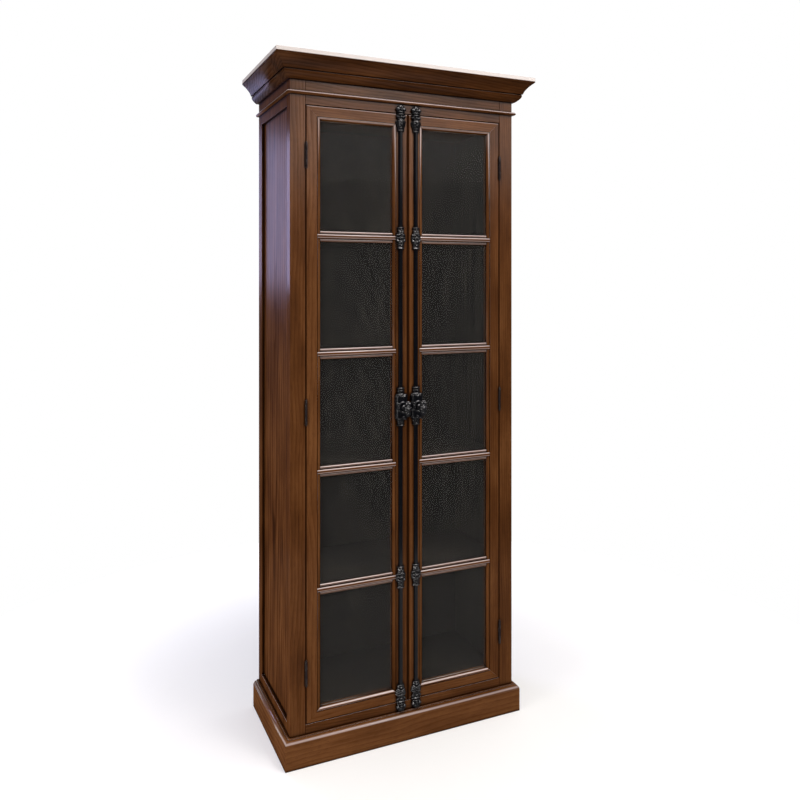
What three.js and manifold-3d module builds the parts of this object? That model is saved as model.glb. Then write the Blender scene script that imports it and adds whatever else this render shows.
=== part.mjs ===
// Tall two-door glazed bookcase: moulded plinth, framed sides, face frame, cornice,
// mitred doors with glazing bars, butt hinges and surface-mounted espagnolette bolts.
// Millimetres, +Z up, front towards -Y, standing on Z = 0.
import * as THREE from "three";
import { mergeVertices } from "three/addons/utils/BufferGeometryUtils.js";
import Module from "manifold-3d";

const wasm = await Module();
wasm.setup();

// Overall sizes.
const TOTAL_HEIGHT = 2200;
const BODY_WIDTH = 800;
const BODY_DEPTH = 390;
const FIT_GAP = 0.3;
const WELD_DISTANCE = 0.0001;

// Plinth, cornice and the small moulding under the frieze.
const PLINTH_HEIGHT = 91;
const PLINTH_PROJECTION = 20;
const PLINTH_PROFILE_SHARES = [
  [1, 0], [1, 0.82], [0.975, 0.858], [0.9, 0.897], [0.78, 0.931], [0.62, 0.955],
  [0.4, 0.968], [0.36, 0.968], [0.36, 1],
];
const CORNICE_HEIGHT = 79;
const CORNICE_PROJECTION = 59;
const CORNICE_CAP_SHARE = 0.2;
const CORNICE_PROFILE_SHARES = [
  [0.16, 0], [0.232, 0.042], [0.316, 0.095], [0.382, 0.15], [0.426, 0.21], [0.441, 0.275],
  [0.441, 0.292], [0.404, 0.296], [0.404, 0.322], [0.483, 0.327], [0.505, 0.38],
  [0.553, 0.455], [0.63, 0.54], [0.735, 0.633], [0.85, 0.712], [0.945, 0.765], [0.965, 0.772],
  [0.965, 0.795], [1, 0.8], [1, 1],
];
const ASTRAGAL_HEIGHT = 12;
const ASTRAGAL_PROJECTION = 10.5;
const ASTRAGAL_PROFILE_SHARES = [
  [0.28, 0], [0.62, 0.02], [0.84, 0.12], [0.96, 0.27], [1, 0.45], [0.96, 0.63],
  [0.84, 0.79], [0.62, 0.9], [0.28, 0.93], [0.28, 1],
];
const FRIEZE_HEIGHT = 34;
const HEAD_BAND_HEIGHT = 29;
const BASE_BAND_HEIGHT = 29;

// Carcass boards.
const POST_WIDTH = 50;
const POST_DEPTH = 35;
const RAIL_THICKNESS = 22;
const SIDE_THICKNESS = 22;
const SIDE_RECESS = 9;
const BACK_STILE_WIDTH = 41;
const SIDE_BASE_RAIL_STEP = 4;
const SIDE_HEAD_RAIL_STEP = 3;
const PANEL_TONGUE = 8;
const PANEL_TONGUE_THICKNESS = 6;
const BOARD_THICKNESS = 22;
const SHELF_THICKNESS = 18;
const SHELF_DROP = 2;
const HOUSING_DEPTH = 5;
const STOP_LIP = 6;
const BACK_PANEL_THICKNESS = 8;
const BACK_RABBET = 14;
const TENON_LENGTH = 16;
const TENON_THICKNESS = 8;
const TENON_SHOULDER = 6;
const FOOT_RAIL_RISE = 30;

// Doors.
const DOOR_THICKNESS = 22;
const DOOR_GAP = 2.5;
const HINGE_STILE_WIDTH = 47;
const MEETING_STILE_WIDTH = 52.5;
const DOOR_TOP_RAIL_HEIGHT = 44;
const DOOR_BOTTOM_RAIL_HEIGHT = 41;
const STICKING_WIDTH = 10;
const QUIRK_WIDTH = 1.8;
const QUIRK_DEPTH = 2.4;
const BEAD_SHARES = [
  [1, 0.12], [0.9, 0.04], [0.74, 0.02], [0.52, 0.08], [0.3, 0.22], [0.12, 0.42], [0, 0.66],
];
const GLASS_SETBACK = 10;
const GLASS_THICKNESS = 4;
const GLASS_GROOVE_DEPTH = 8;
const CORNER_TENON_SHARES = { along: 0.28, from: 0.72, to: 0.9 };
const BAR_HEIGHT_SHARES = [0.1996, 0.4006, 0.6016, 0.8026];
const BAR_HEIGHT = 33;
const BAR_PROUD = 1.5;
const BAR_RIB_SHARE = 0.42;
const BAR_RIB_PROFILE_SHARES = [[0, 0], [0.03, 0.16], [0.1, 0.3], [0.2, 0.38], [0.3, 0.42], [1, 0.42]];
const BAR_BEAD_PROFILE_SHARES = [
  [0.76, 0], [0.76, 0.5], [0.56, 0.55], [0.48, 0.64], [0.46, 0.74], [0.5, 0.85], [0.6, 0.94],
  [0.74, 1], [1, 1],
];

// Hinges.
const HINGE_HEIGHT_SHARES = [0.082, 0.503, 0.919];
const HINGE_LENGTH = 76;
const BARREL_RADIUS = 3.6;
const PIN_RADIUS = 1.9;
const PIN_CLEARANCE = 0.1;
const FINIAL_RADIUS = 2.4;
const LEAF_WIDTH = 19;
const LEAF_THICKNESS = 2;

// Espagnolette bolts.
const ROD_OFFSET = 27.5;
const ROD_WIDTH = 12.5;
const ROD_HEIGHT = 8;
const ROD_END_SET = 1;
const GUIDE_WIDTH = 31;
const GUIDE_DEPTH = 15;
const END_GUIDE_LENGTH = 57;
const MID_GUIDE_LENGTH = 71;
const TOP_KEEPER_LENGTH = 25.5;
const BOTTOM_KEEPER_LENGTH = 27.5;
const KEEPER_DEPTH = 14;
const KEEPER_SOCKET = 12.5;
const TUNNEL_WALL = 2.4;
const CASE_CENTRE_SHARE = 0.502;
const CASE_LENGTH = 125;
const CASE_WIDTH = 37;
const CASE_DEPTH = 24;
const CASE_CAVITY_LENGTH = 62;
const CASE_CAVITY_WIDTH = 30;
const CASE_CAVITY_DEPTH = 9.6;
const KNOB_LENGTH = 54;
const KNOB_WIDTH = 26;
const KNOB_DEPTH = 25;
const KNOB_REACH = 70;
const SPINDLE_RADIUS = 5;
const SPINDLE_COLLAR_RADIUS = 8.5;
const SPINDLE_COLLAR_WIDTH = 5;
const PINION_TEETH = 8;
const GEAR_MODULE = 2;
const GEAR_FACE = 6;
const GEAR_BACK_SET = 1.5;
const PRESSURE_ANGLE = THREE.MathUtils.degToRad(25);
const GEAR_ADDENDUM_SHARE = 0.7;
const GEAR_DEDENDUM_SHARE = 0.9;
const GEAR_BACKLASH = 0.5;
const RACK_BACK_THICKNESS = 4.4;
const RACK_REACH = 18.2;
const JOG_START = 12;
const JOG_HEIGHT = 5;

// Facets of round pieces.
const ROUND_FACETS = 20;
const HOLE_FACETS = 20;
const BARREL_FACETS = 12;
const SWELL_FACETS = 8;
const SWELL_RINGS = 4;
const KNOB_FACETS = 12;
const KNOB_RINGS = 8;
const ROD_FACETS = 6;
const FLANK_STEPS = 3;

// Derived positions.
const HALF_WIDTH = BODY_WIDTH / 2;
const CORNICE_BOTTOM = TOTAL_HEIGHT - CORNICE_HEIGHT;
const CAP_THICKNESS = CORNICE_HEIGHT * CORNICE_CAP_SHARE;
const CARCASS_TOP = TOTAL_HEIGHT - CAP_THICKNESS - FIT_GAP;
const ASTRAGAL_BOTTOM = CORNICE_BOTTOM - FRIEZE_HEIGHT - ASTRAGAL_HEIGHT;
const OPENING_TOP = ASTRAGAL_BOTTOM - HEAD_BAND_HEIGHT;
const OPENING_BOTTOM = PLINTH_HEIGHT + BASE_BAND_HEIGHT;
const OPENING_HALF = HALF_WIDTH - POST_WIDTH;
const INNER_HALF = HALF_WIDTH - SIDE_THICKNESS;
const BACK_PANEL_FRONT = BODY_DEPTH - BACK_RABBET;
const FRONT_REACH = Math.max(KNOB_REACH, CORNICE_PROJECTION);
const DEPTH_SHIFT = (FRONT_REACH - BODY_DEPTH) / 2;
const SIDE_OPENING_BOTTOM = OPENING_BOTTOM + SIDE_BASE_RAIL_STEP;
const SIDE_OPENING_TOP = OPENING_TOP - SIDE_HEAD_RAIL_STEP;
const FLOOR_TOP = OPENING_BOTTOM + STOP_LIP;
const CEILING = OPENING_TOP - STOP_LIP;
const DOOR = {
  left: -OPENING_HALF + DOOR_GAP,
  right: -DOOR_GAP / 2,
  bottom: OPENING_BOTTOM + DOOR_GAP,
  top: OPENING_TOP - DOOR_GAP,
};
const PANE = {
  left: DOOR.left + HINGE_STILE_WIDTH,
  right: DOOR.right - MEETING_STILE_WIDTH,
  bottom: DOOR.bottom + DOOR_BOTTOM_RAIL_HEIGHT,
  top: DOOR.top - DOOR_TOP_RAIL_HEIGHT,
};
const BAR_CENTRES = BAR_HEIGHT_SHARES.map((share) => PANE.bottom + (PANE.top - PANE.bottom) * share);
const HINGE_CENTRES = HINGE_HEIGHT_SHARES.map((share) => DOOR.bottom + (DOOR.top - DOOR.bottom) * share);
const CASE_CENTRE = DOOR.bottom + (DOOR.top - DOOR.bottom) * CASE_CENTRE_SHARE;
const PIN_X = -OPENING_HALF + DOOR_GAP / 2;
const PIN_Y = -BARREL_RADIUS - FIT_GAP;
const KNUCKLE_LENGTH = HINGE_LENGTH / 3;
const ROD_X = -ROD_OFFSET;
const PITCH_RADIUS = (GEAR_MODULE * PINION_TEETH) / 2;
const GEAR_ADDENDUM = GEAR_MODULE * GEAR_ADDENDUM_SHARE;
const GEAR_DEDENDUM = GEAR_MODULE * GEAR_DEDENDUM_SHARE;
const REACH = BODY_WIDTH + BODY_DEPTH + TOTAL_HEIGHT;

// Solids from three.js geometry.
function solid(geometry) {
  const bare = geometry.clone();
  bare.deleteAttribute("normal");
  bare.deleteAttribute("uv");
  const merged = mergeVertices(bare, WELD_DISTANCE);
  const vertProperties = new Float32Array(merged.attributes.position.array);
  const triVerts = new Uint32Array(merged.index.array);
  return new wasm.Manifold(new wasm.Mesh({ numProp: 3, vertProperties, triVerts }));
}

function geometryOf(manifold) {
  const mesh = manifold.getMesh();
  const geometry = new THREE.BufferGeometry();
  geometry.setAttribute("position", new THREE.BufferAttribute(new Float32Array(mesh.vertProperties), 3));
  geometry.setIndex(new THREE.BufferAttribute(new Uint32Array(mesh.triVerts), 1));
  return geometry;
}

function shapeOf(points) {
  const shape = new THREE.Shape(points.map(([u, v]) => new THREE.Vector2(u, v)));
  return shape;
}

function extruded(points, length) {
  return new THREE.ExtrudeGeometry(shapeOf(points), { depth: length, bevelEnabled: false, steps: 1 });
}

// Points are [y, z]; the prism runs along X.
function prismX(points, from, to) {
  const basis = new THREE.Matrix4().makeBasis(
    new THREE.Vector3(0, 1, 0),
    new THREE.Vector3(0, 0, 1),
    new THREE.Vector3(1, 0, 0),
  );
  const geometry = extruded(points, to - from).applyMatrix4(basis);
  return solid(geometry.translate(from, 0, 0));
}

// Points are [x, z]; the prism runs along Y.
function prismY(points, from, to) {
  const basis = new THREE.Matrix4().makeBasis(
    new THREE.Vector3(1, 0, 0),
    new THREE.Vector3(0, 0, 1),
    new THREE.Vector3(0, -1, 0),
  );
  const geometry = extruded(points, to - from).applyMatrix4(basis);
  return solid(geometry.translate(0, to, 0));
}

// Points are [x, y]; the prism runs along Z.
function prismZ(points, from, to) {
  const geometry = extruded(points, to - from);
  return solid(geometry.translate(0, 0, from));
}

function block(x0, x1, y0, y1, z0, z1) {
  const geometry = new THREE.BoxGeometry(x1 - x0, y1 - y0, z1 - z0);
  return solid(geometry.translate((x0 + x1) / 2, (y0 + y1) / 2, (z0 + z1) / 2));
}

function roundZ(x, y, radius, z0, z1, facets) {
  const geometry = new THREE.CylinderGeometry(radius, radius, z1 - z0, facets);
  geometry.rotateX(Math.PI / 2);
  return solid(geometry.translate(x, y, (z0 + z1) / 2));
}

function roundY(x, z, radius, y0, y1, facets) {
  const geometry = new THREE.CylinderGeometry(radius, radius, y1 - y0, facets);
  return solid(geometry.translate(x, (y0 + y1) / 2, z));
}

function swell(x, y, z, rx, ry, rz, facets, rings) {
  const geometry = new THREE.SphereGeometry(1, facets, rings);
  geometry.rotateX(Math.PI / 2);
  geometry.scale(rx, ry, rz);
  return solid(geometry.translate(x, y, z));
}

function union(pieces) {
  return pieces.reduce((sum, piece) => sum.add(piece));
}

function less(body, cuts) {
  return cuts.reduce((rest, cut) => rest.subtract(cut), body);
}

function mirroredX(geometry) {
  const copy = geometry.clone().scale(-1, 1, 1);
  const index = copy.index.array;
  for (let i = 0; i < index.length; i += 3) {
    const first = index[i];
    index[i] = index[i + 1];
    index[i + 1] = first;
  }
  return copy;
}

// Mouldings that wrap the front and both sides of the carcass.
function mouldedBlock(profileShares, projection, height, base) {
  const profile = profileShares.map(([out, up]) => [out * projection, base + up * height]);
  const first = profile[0];
  const last = profile[profile.length - 1];
  const frontOutline = profile.map(([out, z]) => [-out, z]);
  frontOutline.push([BODY_DEPTH, last[1]]);
  frontOutline.push([BODY_DEPTH, first[1]]);
  const leftOutline = profile.map(([out, z]) => [-HALF_WIDTH - out, z]);
  const rightOutline = profile.map(([out, z]) => [HALF_WIDTH + out, z]).reverse();
  const lengthways = prismX(frontOutline, -HALF_WIDTH - projection * 2, HALF_WIDTH + projection * 2);
  const crossways = prismY(leftOutline.concat(rightOutline), -projection * 2, BODY_DEPTH);
  return lengthways.intersect(crossways);
}

function carcassEnvelope(z0, z1) {
  return block(-HALF_WIDTH - FIT_GAP, HALF_WIDTH + FIT_GAP, -FIT_GAP, BODY_DEPTH * 2, z0, z1);
}

function plinth() {
  const moulding = mouldedBlock(PLINTH_PROFILE_SHARES, PLINTH_PROJECTION, PLINTH_HEIGHT, 0);
  return moulding.subtract(carcassEnvelope(-PLINTH_HEIGHT, PLINTH_HEIGHT * 2));
}

function astragal() {
  const shares = ASTRAGAL_PROFILE_SHARES;
  const moulding = mouldedBlock(shares, ASTRAGAL_PROJECTION, ASTRAGAL_HEIGHT, ASTRAGAL_BOTTOM);
  return moulding.subtract(carcassEnvelope(0, TOTAL_HEIGHT));
}

function cornice() {
  const moulding = mouldedBlock(CORNICE_PROFILE_SHARES, CORNICE_PROJECTION, CORNICE_HEIGHT, CORNICE_BOTTOM);
  return moulding.subtract(carcassEnvelope(0, TOTAL_HEIGHT - CAP_THICKNESS));
}

// Carcass, drawn for the left side and mirrored for the right.
function tenon(grow, z0, z1) {
  const y0 = (RAIL_THICKNESS - TENON_THICKNESS) / 2;
  const reach = OPENING_HALF + TENON_LENGTH + grow;
  return block(-reach, reach, y0 - grow, y0 + TENON_THICKNESS + grow, z0 - grow, z1 + grow);
}

function bottomTenon(grow) {
  return tenon(grow, FOOT_RAIL_RISE + TENON_SHOULDER, OPENING_BOTTOM - TENON_SHOULDER);
}

function headTenon(grow) {
  return tenon(grow, OPENING_TOP + TENON_SHOULDER, CARCASS_TOP - TENON_SHOULDER);
}

function panelTongue(grow) {
  const x0 = -HALF_WIDTH + SIDE_RECESS + (SIDE_THICKNESS - SIDE_RECESS - PANEL_TONGUE_THICKNESS) / 2;
  return block(
    x0 - grow,
    x0 + PANEL_TONGUE_THICKNESS + grow,
    POST_DEPTH - PANEL_TONGUE - grow,
    BODY_DEPTH - BACK_STILE_WIDTH + PANEL_TONGUE + grow,
    SIDE_OPENING_BOTTOM - PANEL_TONGUE - grow,
    SIDE_OPENING_TOP + PANEL_TONGUE + grow,
  );
}

function boardEnds(grow, z0, z1) {
  const reach = INNER_HALF + HOUSING_DEPTH + grow;
  return block(-reach, reach, POST_DEPTH + FIT_GAP - grow, BACK_PANEL_FRONT, z0 - grow, z1 + grow);
}

function floorEnds(grow) {
  return boardEnds(grow, FLOOR_TOP - BOARD_THICKNESS, FLOOR_TOP);
}

function ceilingEnds(grow) {
  return boardEnds(grow, CEILING, CEILING + BOARD_THICKNESS);
}

function shelfEnds(grow, centre) {
  return boardEnds(grow, centre - SHELF_DROP - SHELF_THICKNESS, centre - SHELF_DROP);
}

function allBoardEnds(grow) {
  return [floorEnds(grow), ceilingEnds(grow), ...BAR_CENTRES.map((centre) => shelfEnds(grow, centre))];
}

function hingeLeaf(centre, grow) {
  const half = HINGE_LENGTH / 2 + grow;
  const x0 = -OPENING_HALF - LEAF_THICKNESS - grow;
  return block(x0, -OPENING_HALF + grow, PIN_Y - grow, LEAF_WIDTH + grow, centre - half, centre + half);
}

function frontPost() {
  const body = block(-HALF_WIDTH, -OPENING_HALF, 0, POST_DEPTH, 0, CARCASS_TOP);
  const cuts = [bottomTenon(FIT_GAP), headTenon(FIT_GAP), panelTongue(FIT_GAP)];
  HINGE_CENTRES.forEach((centre) => cuts.push(hingeLeaf(centre, FIT_GAP)));
  return less(body, cuts);
}

function sideFrame() {
  const y0 = POST_DEPTH + FIT_GAP;
  const outline = [
    [y0, 0], [BODY_DEPTH, 0], [BODY_DEPTH, CARCASS_TOP], [y0, CARCASS_TOP],
    [y0, SIDE_OPENING_TOP], [BODY_DEPTH - BACK_STILE_WIDTH, SIDE_OPENING_TOP],
    [BODY_DEPTH - BACK_STILE_WIDTH, SIDE_OPENING_BOTTOM], [y0, SIDE_OPENING_BOTTOM],
  ];
  const body = prismX(outline, -HALF_WIDTH, -INNER_HALF);
  const rabbet = block(
    -INNER_HALF - BACK_PANEL_THICKNESS - FIT_GAP, -INNER_HALF + FIT_GAP,
    BACK_PANEL_FRONT - FIT_GAP, BODY_DEPTH * 2,
    FOOT_RAIL_RISE, CEILING + BOARD_THICKNESS + FIT_GAP,
  );
  return less(body, [panelTongue(FIT_GAP), rabbet, ...allBoardEnds(FIT_GAP)]);
}

function sidePanel() {
  const body = block(
    -HALF_WIDTH + SIDE_RECESS, -INNER_HALF,
    POST_DEPTH + FIT_GAP, BODY_DEPTH - BACK_STILE_WIDTH - FIT_GAP,
    SIDE_OPENING_BOTTOM + FIT_GAP, SIDE_OPENING_TOP - FIT_GAP,
  );
  return less(body.add(panelTongue(0)), allBoardEnds(FIT_GAP));
}

function bottomRailAndFloor() {
  const railHalf = OPENING_HALF - FIT_GAP;
  const section = [
    [0, FOOT_RAIL_RISE], [RAIL_THICKNESS, FOOT_RAIL_RISE], [RAIL_THICKNESS, FLOOR_TOP - BOARD_THICKNESS],
    [BACK_PANEL_FRONT - FIT_GAP, FLOOR_TOP - BOARD_THICKNESS], [BACK_PANEL_FRONT - FIT_GAP, FLOOR_TOP],
    [DOOR_THICKNESS + FIT_GAP * 2, FLOOR_TOP], [DOOR_THICKNESS + FIT_GAP * 2, OPENING_BOTTOM],
    [0, OPENING_BOTTOM],
  ];
  const ends = floorEnds(0).subtract(block(-REACH, REACH, BACK_PANEL_FRONT - FIT_GAP, REACH, 0, REACH));
  return union([prismX(section, -railHalf, railHalf), ends, bottomTenon(0)]);
}

function friezeRailAndCeiling() {
  const railHalf = OPENING_HALF - FIT_GAP;
  const section = [
    [0, OPENING_TOP], [DOOR_THICKNESS + FIT_GAP * 2, OPENING_TOP], [DOOR_THICKNESS + FIT_GAP * 2, CEILING],
    [BACK_PANEL_FRONT - FIT_GAP, CEILING], [BACK_PANEL_FRONT - FIT_GAP, CEILING + BOARD_THICKNESS],
    [RAIL_THICKNESS, CEILING + BOARD_THICKNESS], [RAIL_THICKNESS, CARCASS_TOP], [0, CARCASS_TOP],
  ];
  const ends = ceilingEnds(0).subtract(block(-REACH, REACH, BACK_PANEL_FRONT - FIT_GAP, REACH, 0, REACH));
  return union([prismX(section, -railHalf, railHalf), ends, headTenon(0)]);
}

function shelf(centre) {
  const full = shelfEnds(0, centre);
  return full.subtract(block(-REACH, REACH, BACK_PANEL_FRONT - FIT_GAP, REACH, 0, REACH));
}

function backPanel() {
  const half = INNER_HALF + BACK_PANEL_THICKNESS;
  const back = BACK_PANEL_FRONT + BACK_PANEL_THICKNESS;
  return block(-half, half, BACK_PANEL_FRONT, back, FOOT_RAIL_RISE + FIT_GAP, CEILING + BOARD_THICKNESS);
}

// Door frame: one moulded ring, divided along the mitres.
function paneHole(spread, y0, y1) {
  return block(PANE.left - spread, PANE.right + spread, y0, y1, PANE.bottom - spread, PANE.top + spread);
}

function beadHole() {
  const steps = BEAD_SHARES.map(([out, deep]) => [out * STICKING_WIDTH, deep * GLASS_SETBACK]);
  const mouth = steps[0][0];
  const front = [-mouth, -DOOR_THICKNESS];
  const back = [0, DOOR_THICKNESS * 2];
  const side = [front, ...steps.map(([out, y]) => [-out, y]), back];
  const left = side.map(([out, y]) => [PANE.left + out, y]);
  const right = side.map(([out, y]) => [PANE.right - out, y]).reverse();
  const low = side.map(([out, y]) => [y, PANE.bottom + out]);
  const high = side.map(([out, y]) => [y, PANE.top - out]).reverse();
  const upright = prismZ(left.concat(right), 0, TOTAL_HEIGHT);
  const across = prismX(low.concat(high), -BODY_WIDTH, BODY_WIDTH);
  return upright.intersect(across);
}

function doorRing() {
  const slab = block(DOOR.left, DOOR.right, 0, DOOR_THICKNESS, DOOR.bottom, DOOR.top);
  const quirk = paneHole(STICKING_WIDTH + QUIRK_WIDTH, -QUIRK_DEPTH, QUIRK_DEPTH)
    .subtract(paneHole(STICKING_WIDTH - FIT_GAP, -QUIRK_DEPTH * 2, QUIRK_DEPTH * 2));
  const grooveBack = GLASS_SETBACK + GLASS_THICKNESS + FIT_GAP;
  const groove = paneHole(GLASS_GROOVE_DEPTH, GLASS_SETBACK - FIT_GAP, grooveBack);
  return less(slab, [beadHole(), quirk, groove]);
}

function mitreSaw(x0, z0, x1, z1) {
  const along = new THREE.Vector2(x1 - x0, z1 - z0);
  const overrun = along.clone().setLength(STICKING_WIDTH);
  const across = new THREE.Vector2(-along.y, along.x).setLength(FIT_GAP / 2);
  const start = new THREE.Vector2(x0, z0).sub(overrun);
  const end = new THREE.Vector2(x1, z1).add(overrun);
  const corners = [
    start.clone().sub(across), end.clone().sub(across), end.clone().add(across), start.clone().add(across),
  ];
  return prismY(corners.map((p) => [p.x, p.y]), -DOOR_THICKNESS, DOOR_THICKNESS * 2);
}

function mitreSaws() {
  return [
    mitreSaw(PANE.left, PANE.bottom, DOOR.left, DOOR.bottom),
    mitreSaw(PANE.right, PANE.bottom, DOOR.right, DOOR.bottom),
    mitreSaw(PANE.left, PANE.top, DOOR.left, DOOR.top),
    mitreSaw(PANE.right, PANE.top, DOOR.right, DOOR.top),
  ];
}

function doorMember(corners) {
  const zone = prismY(corners, -DOOR_THICKNESS, DOOR_THICKNESS * 2);
  return less(doorRing().intersect(zone), mitreSaws());
}

function cornerTenon(x, z, stileWidth, railHeight, grow) {
  const halfX = stileWidth * CORNER_TENON_SHARES.along + grow;
  const halfZ = railHeight * CORNER_TENON_SHARES.along + grow;
  const y0 = DOOR_THICKNESS * CORNER_TENON_SHARES.from - grow;
  const y1 = DOOR_THICKNESS * CORNER_TENON_SHARES.to + grow;
  return block(x - halfX, x + halfX, y0, y1, z - halfZ, z + halfZ);
}

function cornerTenons(z, railHeight, grow) {
  return [
    cornerTenon(DOOR.left + HINGE_STILE_WIDTH / 2, z, HINGE_STILE_WIDTH, railHeight, grow),
    cornerTenon(DOOR.right - MEETING_STILE_WIDTH / 2, z, MEETING_STILE_WIDTH, railHeight, grow),
  ];
}

function topTenons(grow) {
  return cornerTenons(DOOR.top - DOOR_TOP_RAIL_HEIGHT / 2, DOOR_TOP_RAIL_HEIGHT, grow);
}

function bottomTenons(grow) {
  return cornerTenons(DOOR.bottom + DOOR_BOTTOM_RAIL_HEIGHT / 2, DOOR_BOTTOM_RAIL_HEIGHT, grow);
}

function barNotch(centre) {
  const half = (BAR_HEIGHT / 2) * BAR_RIB_SHARE + FIT_GAP;
  const reach = STICKING_WIDTH + FIT_GAP;
  return block(
    PANE.left - reach, PANE.right + reach,
    -DOOR_THICKNESS, GLASS_SETBACK, centre - half, centre + half,
  );
}

function stileCuts() {
  return [...topTenons(FIT_GAP), ...bottomTenons(FIT_GAP), ...BAR_CENTRES.map(barNotch)];
}

function hingeStile() {
  const middle = (PANE.left + PANE.right) / 2;
  const wood = doorMember([
    [DOOR.left, DOOR.bottom], [PANE.left, PANE.bottom], [middle, PANE.bottom + BODY_WIDTH / 2],
    [middle, PANE.top - BODY_WIDTH / 2], [PANE.left, PANE.top], [DOOR.left, DOOR.top],
  ]);
  const knuckles = HINGE_CENTRES.map(doorKnuckle);
  const bores = HINGE_CENTRES.map((centre) => pinBore(centre));
  return less(union([less(wood, stileCuts()), ...knuckles]), bores);
}

function meetingStile() {
  const middle = (PANE.left + PANE.right) / 2;
  const wood = doorMember([
    [DOOR.right, DOOR.bottom], [DOOR.right, DOOR.top], [PANE.right, PANE.top],
    [middle, PANE.top - BODY_WIDTH / 2], [middle, PANE.bottom + BODY_WIDTH / 2], [PANE.right, PANE.bottom],
  ]);
  return less(wood, stileCuts());
}

function doorTopRail() {
  const wood = doorMember([
    [DOOR.left, DOOR.top], [PANE.left, PANE.top], [PANE.right, PANE.top], [DOOR.right, DOOR.top],
  ]);
  return union([wood, ...topTenons(0)]);
}

function doorBottomRail() {
  const wood = doorMember([
    [DOOR.left, DOOR.bottom], [DOOR.right, DOOR.bottom], [PANE.right, PANE.bottom], [PANE.left, PANE.bottom],
  ]);
  return union([wood, ...bottomTenons(0)]);
}

function glassSheet() {
  const spread = GLASS_GROOVE_DEPTH - FIT_GAP;
  return paneHole(spread, GLASS_SETBACK, GLASS_SETBACK + GLASS_THICKNESS);
}

function barOutline(halfShares, centre) {
  const depth = GLASS_SETBACK - FIT_GAP + BAR_PROUD;
  const half = BAR_HEIGHT / 2;
  const upper = halfShares.map(([deep, up]) => [deep * depth - BAR_PROUD, centre + up * half]);
  const lower = halfShares.map(([deep, up]) => [deep * depth - BAR_PROUD, centre - up * half]);
  return upper.concat(lower.slice(1).reverse());
}

function glazingBar(centre) {
  const beadOutline = barOutline(BAR_BEAD_PROFILE_SHARES, centre);
  const beads = prismX(beadOutline, PANE.left + FIT_GAP, PANE.right - FIT_GAP);
  const ribOutline = barOutline(BAR_RIB_PROFILE_SHARES, centre);
  const rib = prismX(ribOutline, PANE.left - STICKING_WIDTH, PANE.right + STICKING_WIDTH);
  return beads.add(rib);
}

// Hinges.
function doorKnuckle(centre) {
  const z0 = centre - KNUCKLE_LENGTH / 2 + FIT_GAP / 2;
  const z1 = centre + KNUCKLE_LENGTH / 2 - FIT_GAP / 2;
  const barrel = roundZ(PIN_X, PIN_Y, BARREL_RADIUS, z0, z1, BARREL_FACETS);
  const web = block(DOOR.left, DOOR.left + LEAF_THICKNESS, PIN_Y, LEAF_THICKNESS, z0, z1);
  return barrel.add(web);
}

function pinBore(centre) {
  const half = HINGE_LENGTH / 2;
  return roundZ(PIN_X, PIN_Y, PIN_RADIUS + PIN_CLEARANCE, centre - half, centre + half, BARREL_FACETS);
}

function frameHinge(centre) {
  const half = HINGE_LENGTH / 2;
  const inner = KNUCKLE_LENGTH / 2 + FIT_GAP / 2;
  const upper = roundZ(PIN_X, PIN_Y, BARREL_RADIUS, centre + inner, centre + half, BARREL_FACETS);
  const lower = roundZ(PIN_X, PIN_Y, BARREL_RADIUS, centre - half, centre - inner, BARREL_FACETS);
  const leaf = hingeLeaf(centre, 0);
  const clear = roundZ(PIN_X, PIN_Y, BARREL_RADIUS + FIT_GAP, centre - inner, centre + inner, BARREL_FACETS);
  const pinHalf = half + FINIAL_RADIUS;
  const pin = roundZ(PIN_X, PIN_Y, PIN_RADIUS, centre - pinHalf, centre + pinHalf, BARREL_FACETS);
  const finials = [half, -half].map((rise) => {
    const z = centre + rise + Math.sign(rise) * FINIAL_RADIUS;
    return swell(PIN_X, PIN_Y, z, FINIAL_RADIUS, FINIAL_RADIUS, FINIAL_RADIUS, SWELL_FACETS, SWELL_RINGS);
  });
  return union([upper, lower, leaf.subtract(clear), pin, ...finials]);
}

// Bolt rods.
function rodSection(grow) {
  const half = ROD_WIDTH / 2 + grow;
  const back = grow > 0 ? GUIDE_DEPTH : -FIT_GAP;
  const side = -FIT_GAP - ROD_HEIGHT / 2;
  const crown = ROD_HEIGHT / 2 + grow;
  const points = [[ROD_X + half, back], [ROD_X - half, back]];
  for (let i = 0; i <= ROD_FACETS; i += 1) {
    const angle = Math.PI * (1 - i / ROD_FACETS);
    points.push([ROD_X + Math.cos(angle) * half, side - Math.sin(angle) * crown]);
  }
  return points;
}

function rodBar(z0, z1) {
  return prismZ(rodSection(0), z0, z1);
}

function rodChannel(z0, z1) {
  return prismZ(rodSection(FIT_GAP), z0, z1);
}

function rackPiece() {
  const inner = PITCH_RADIUS + GEAR_DEDENDUM;
  const outer = inner + RACK_BACK_THICKNESS;
  const pitch = Math.PI * GEAR_MODULE;
  const lean = Math.tan(PRESSURE_ANGLE);
  const halfTooth = pitch / 4 - GEAR_BACKLASH / 4;
  const points = [[inner, JOG_START], [outer, JOG_START], [outer, -RACK_REACH], [inner, -RACK_REACH]];
  for (let step = -3; step <= 0; step += 1) {
    const middle = pitch * (step + 1 / 2);
    const root = halfTooth + GEAR_DEDENDUM * lean;
    const tip = halfTooth - GEAR_ADDENDUM * lean;
    const crest = PITCH_RADIUS - GEAR_ADDENDUM;
    points.push([inner, middle - root]);
    points.push([crest, middle - tip]);
    points.push([crest, middle + tip]);
    points.push([inner, middle + root]);
  }
  return points;
}

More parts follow.
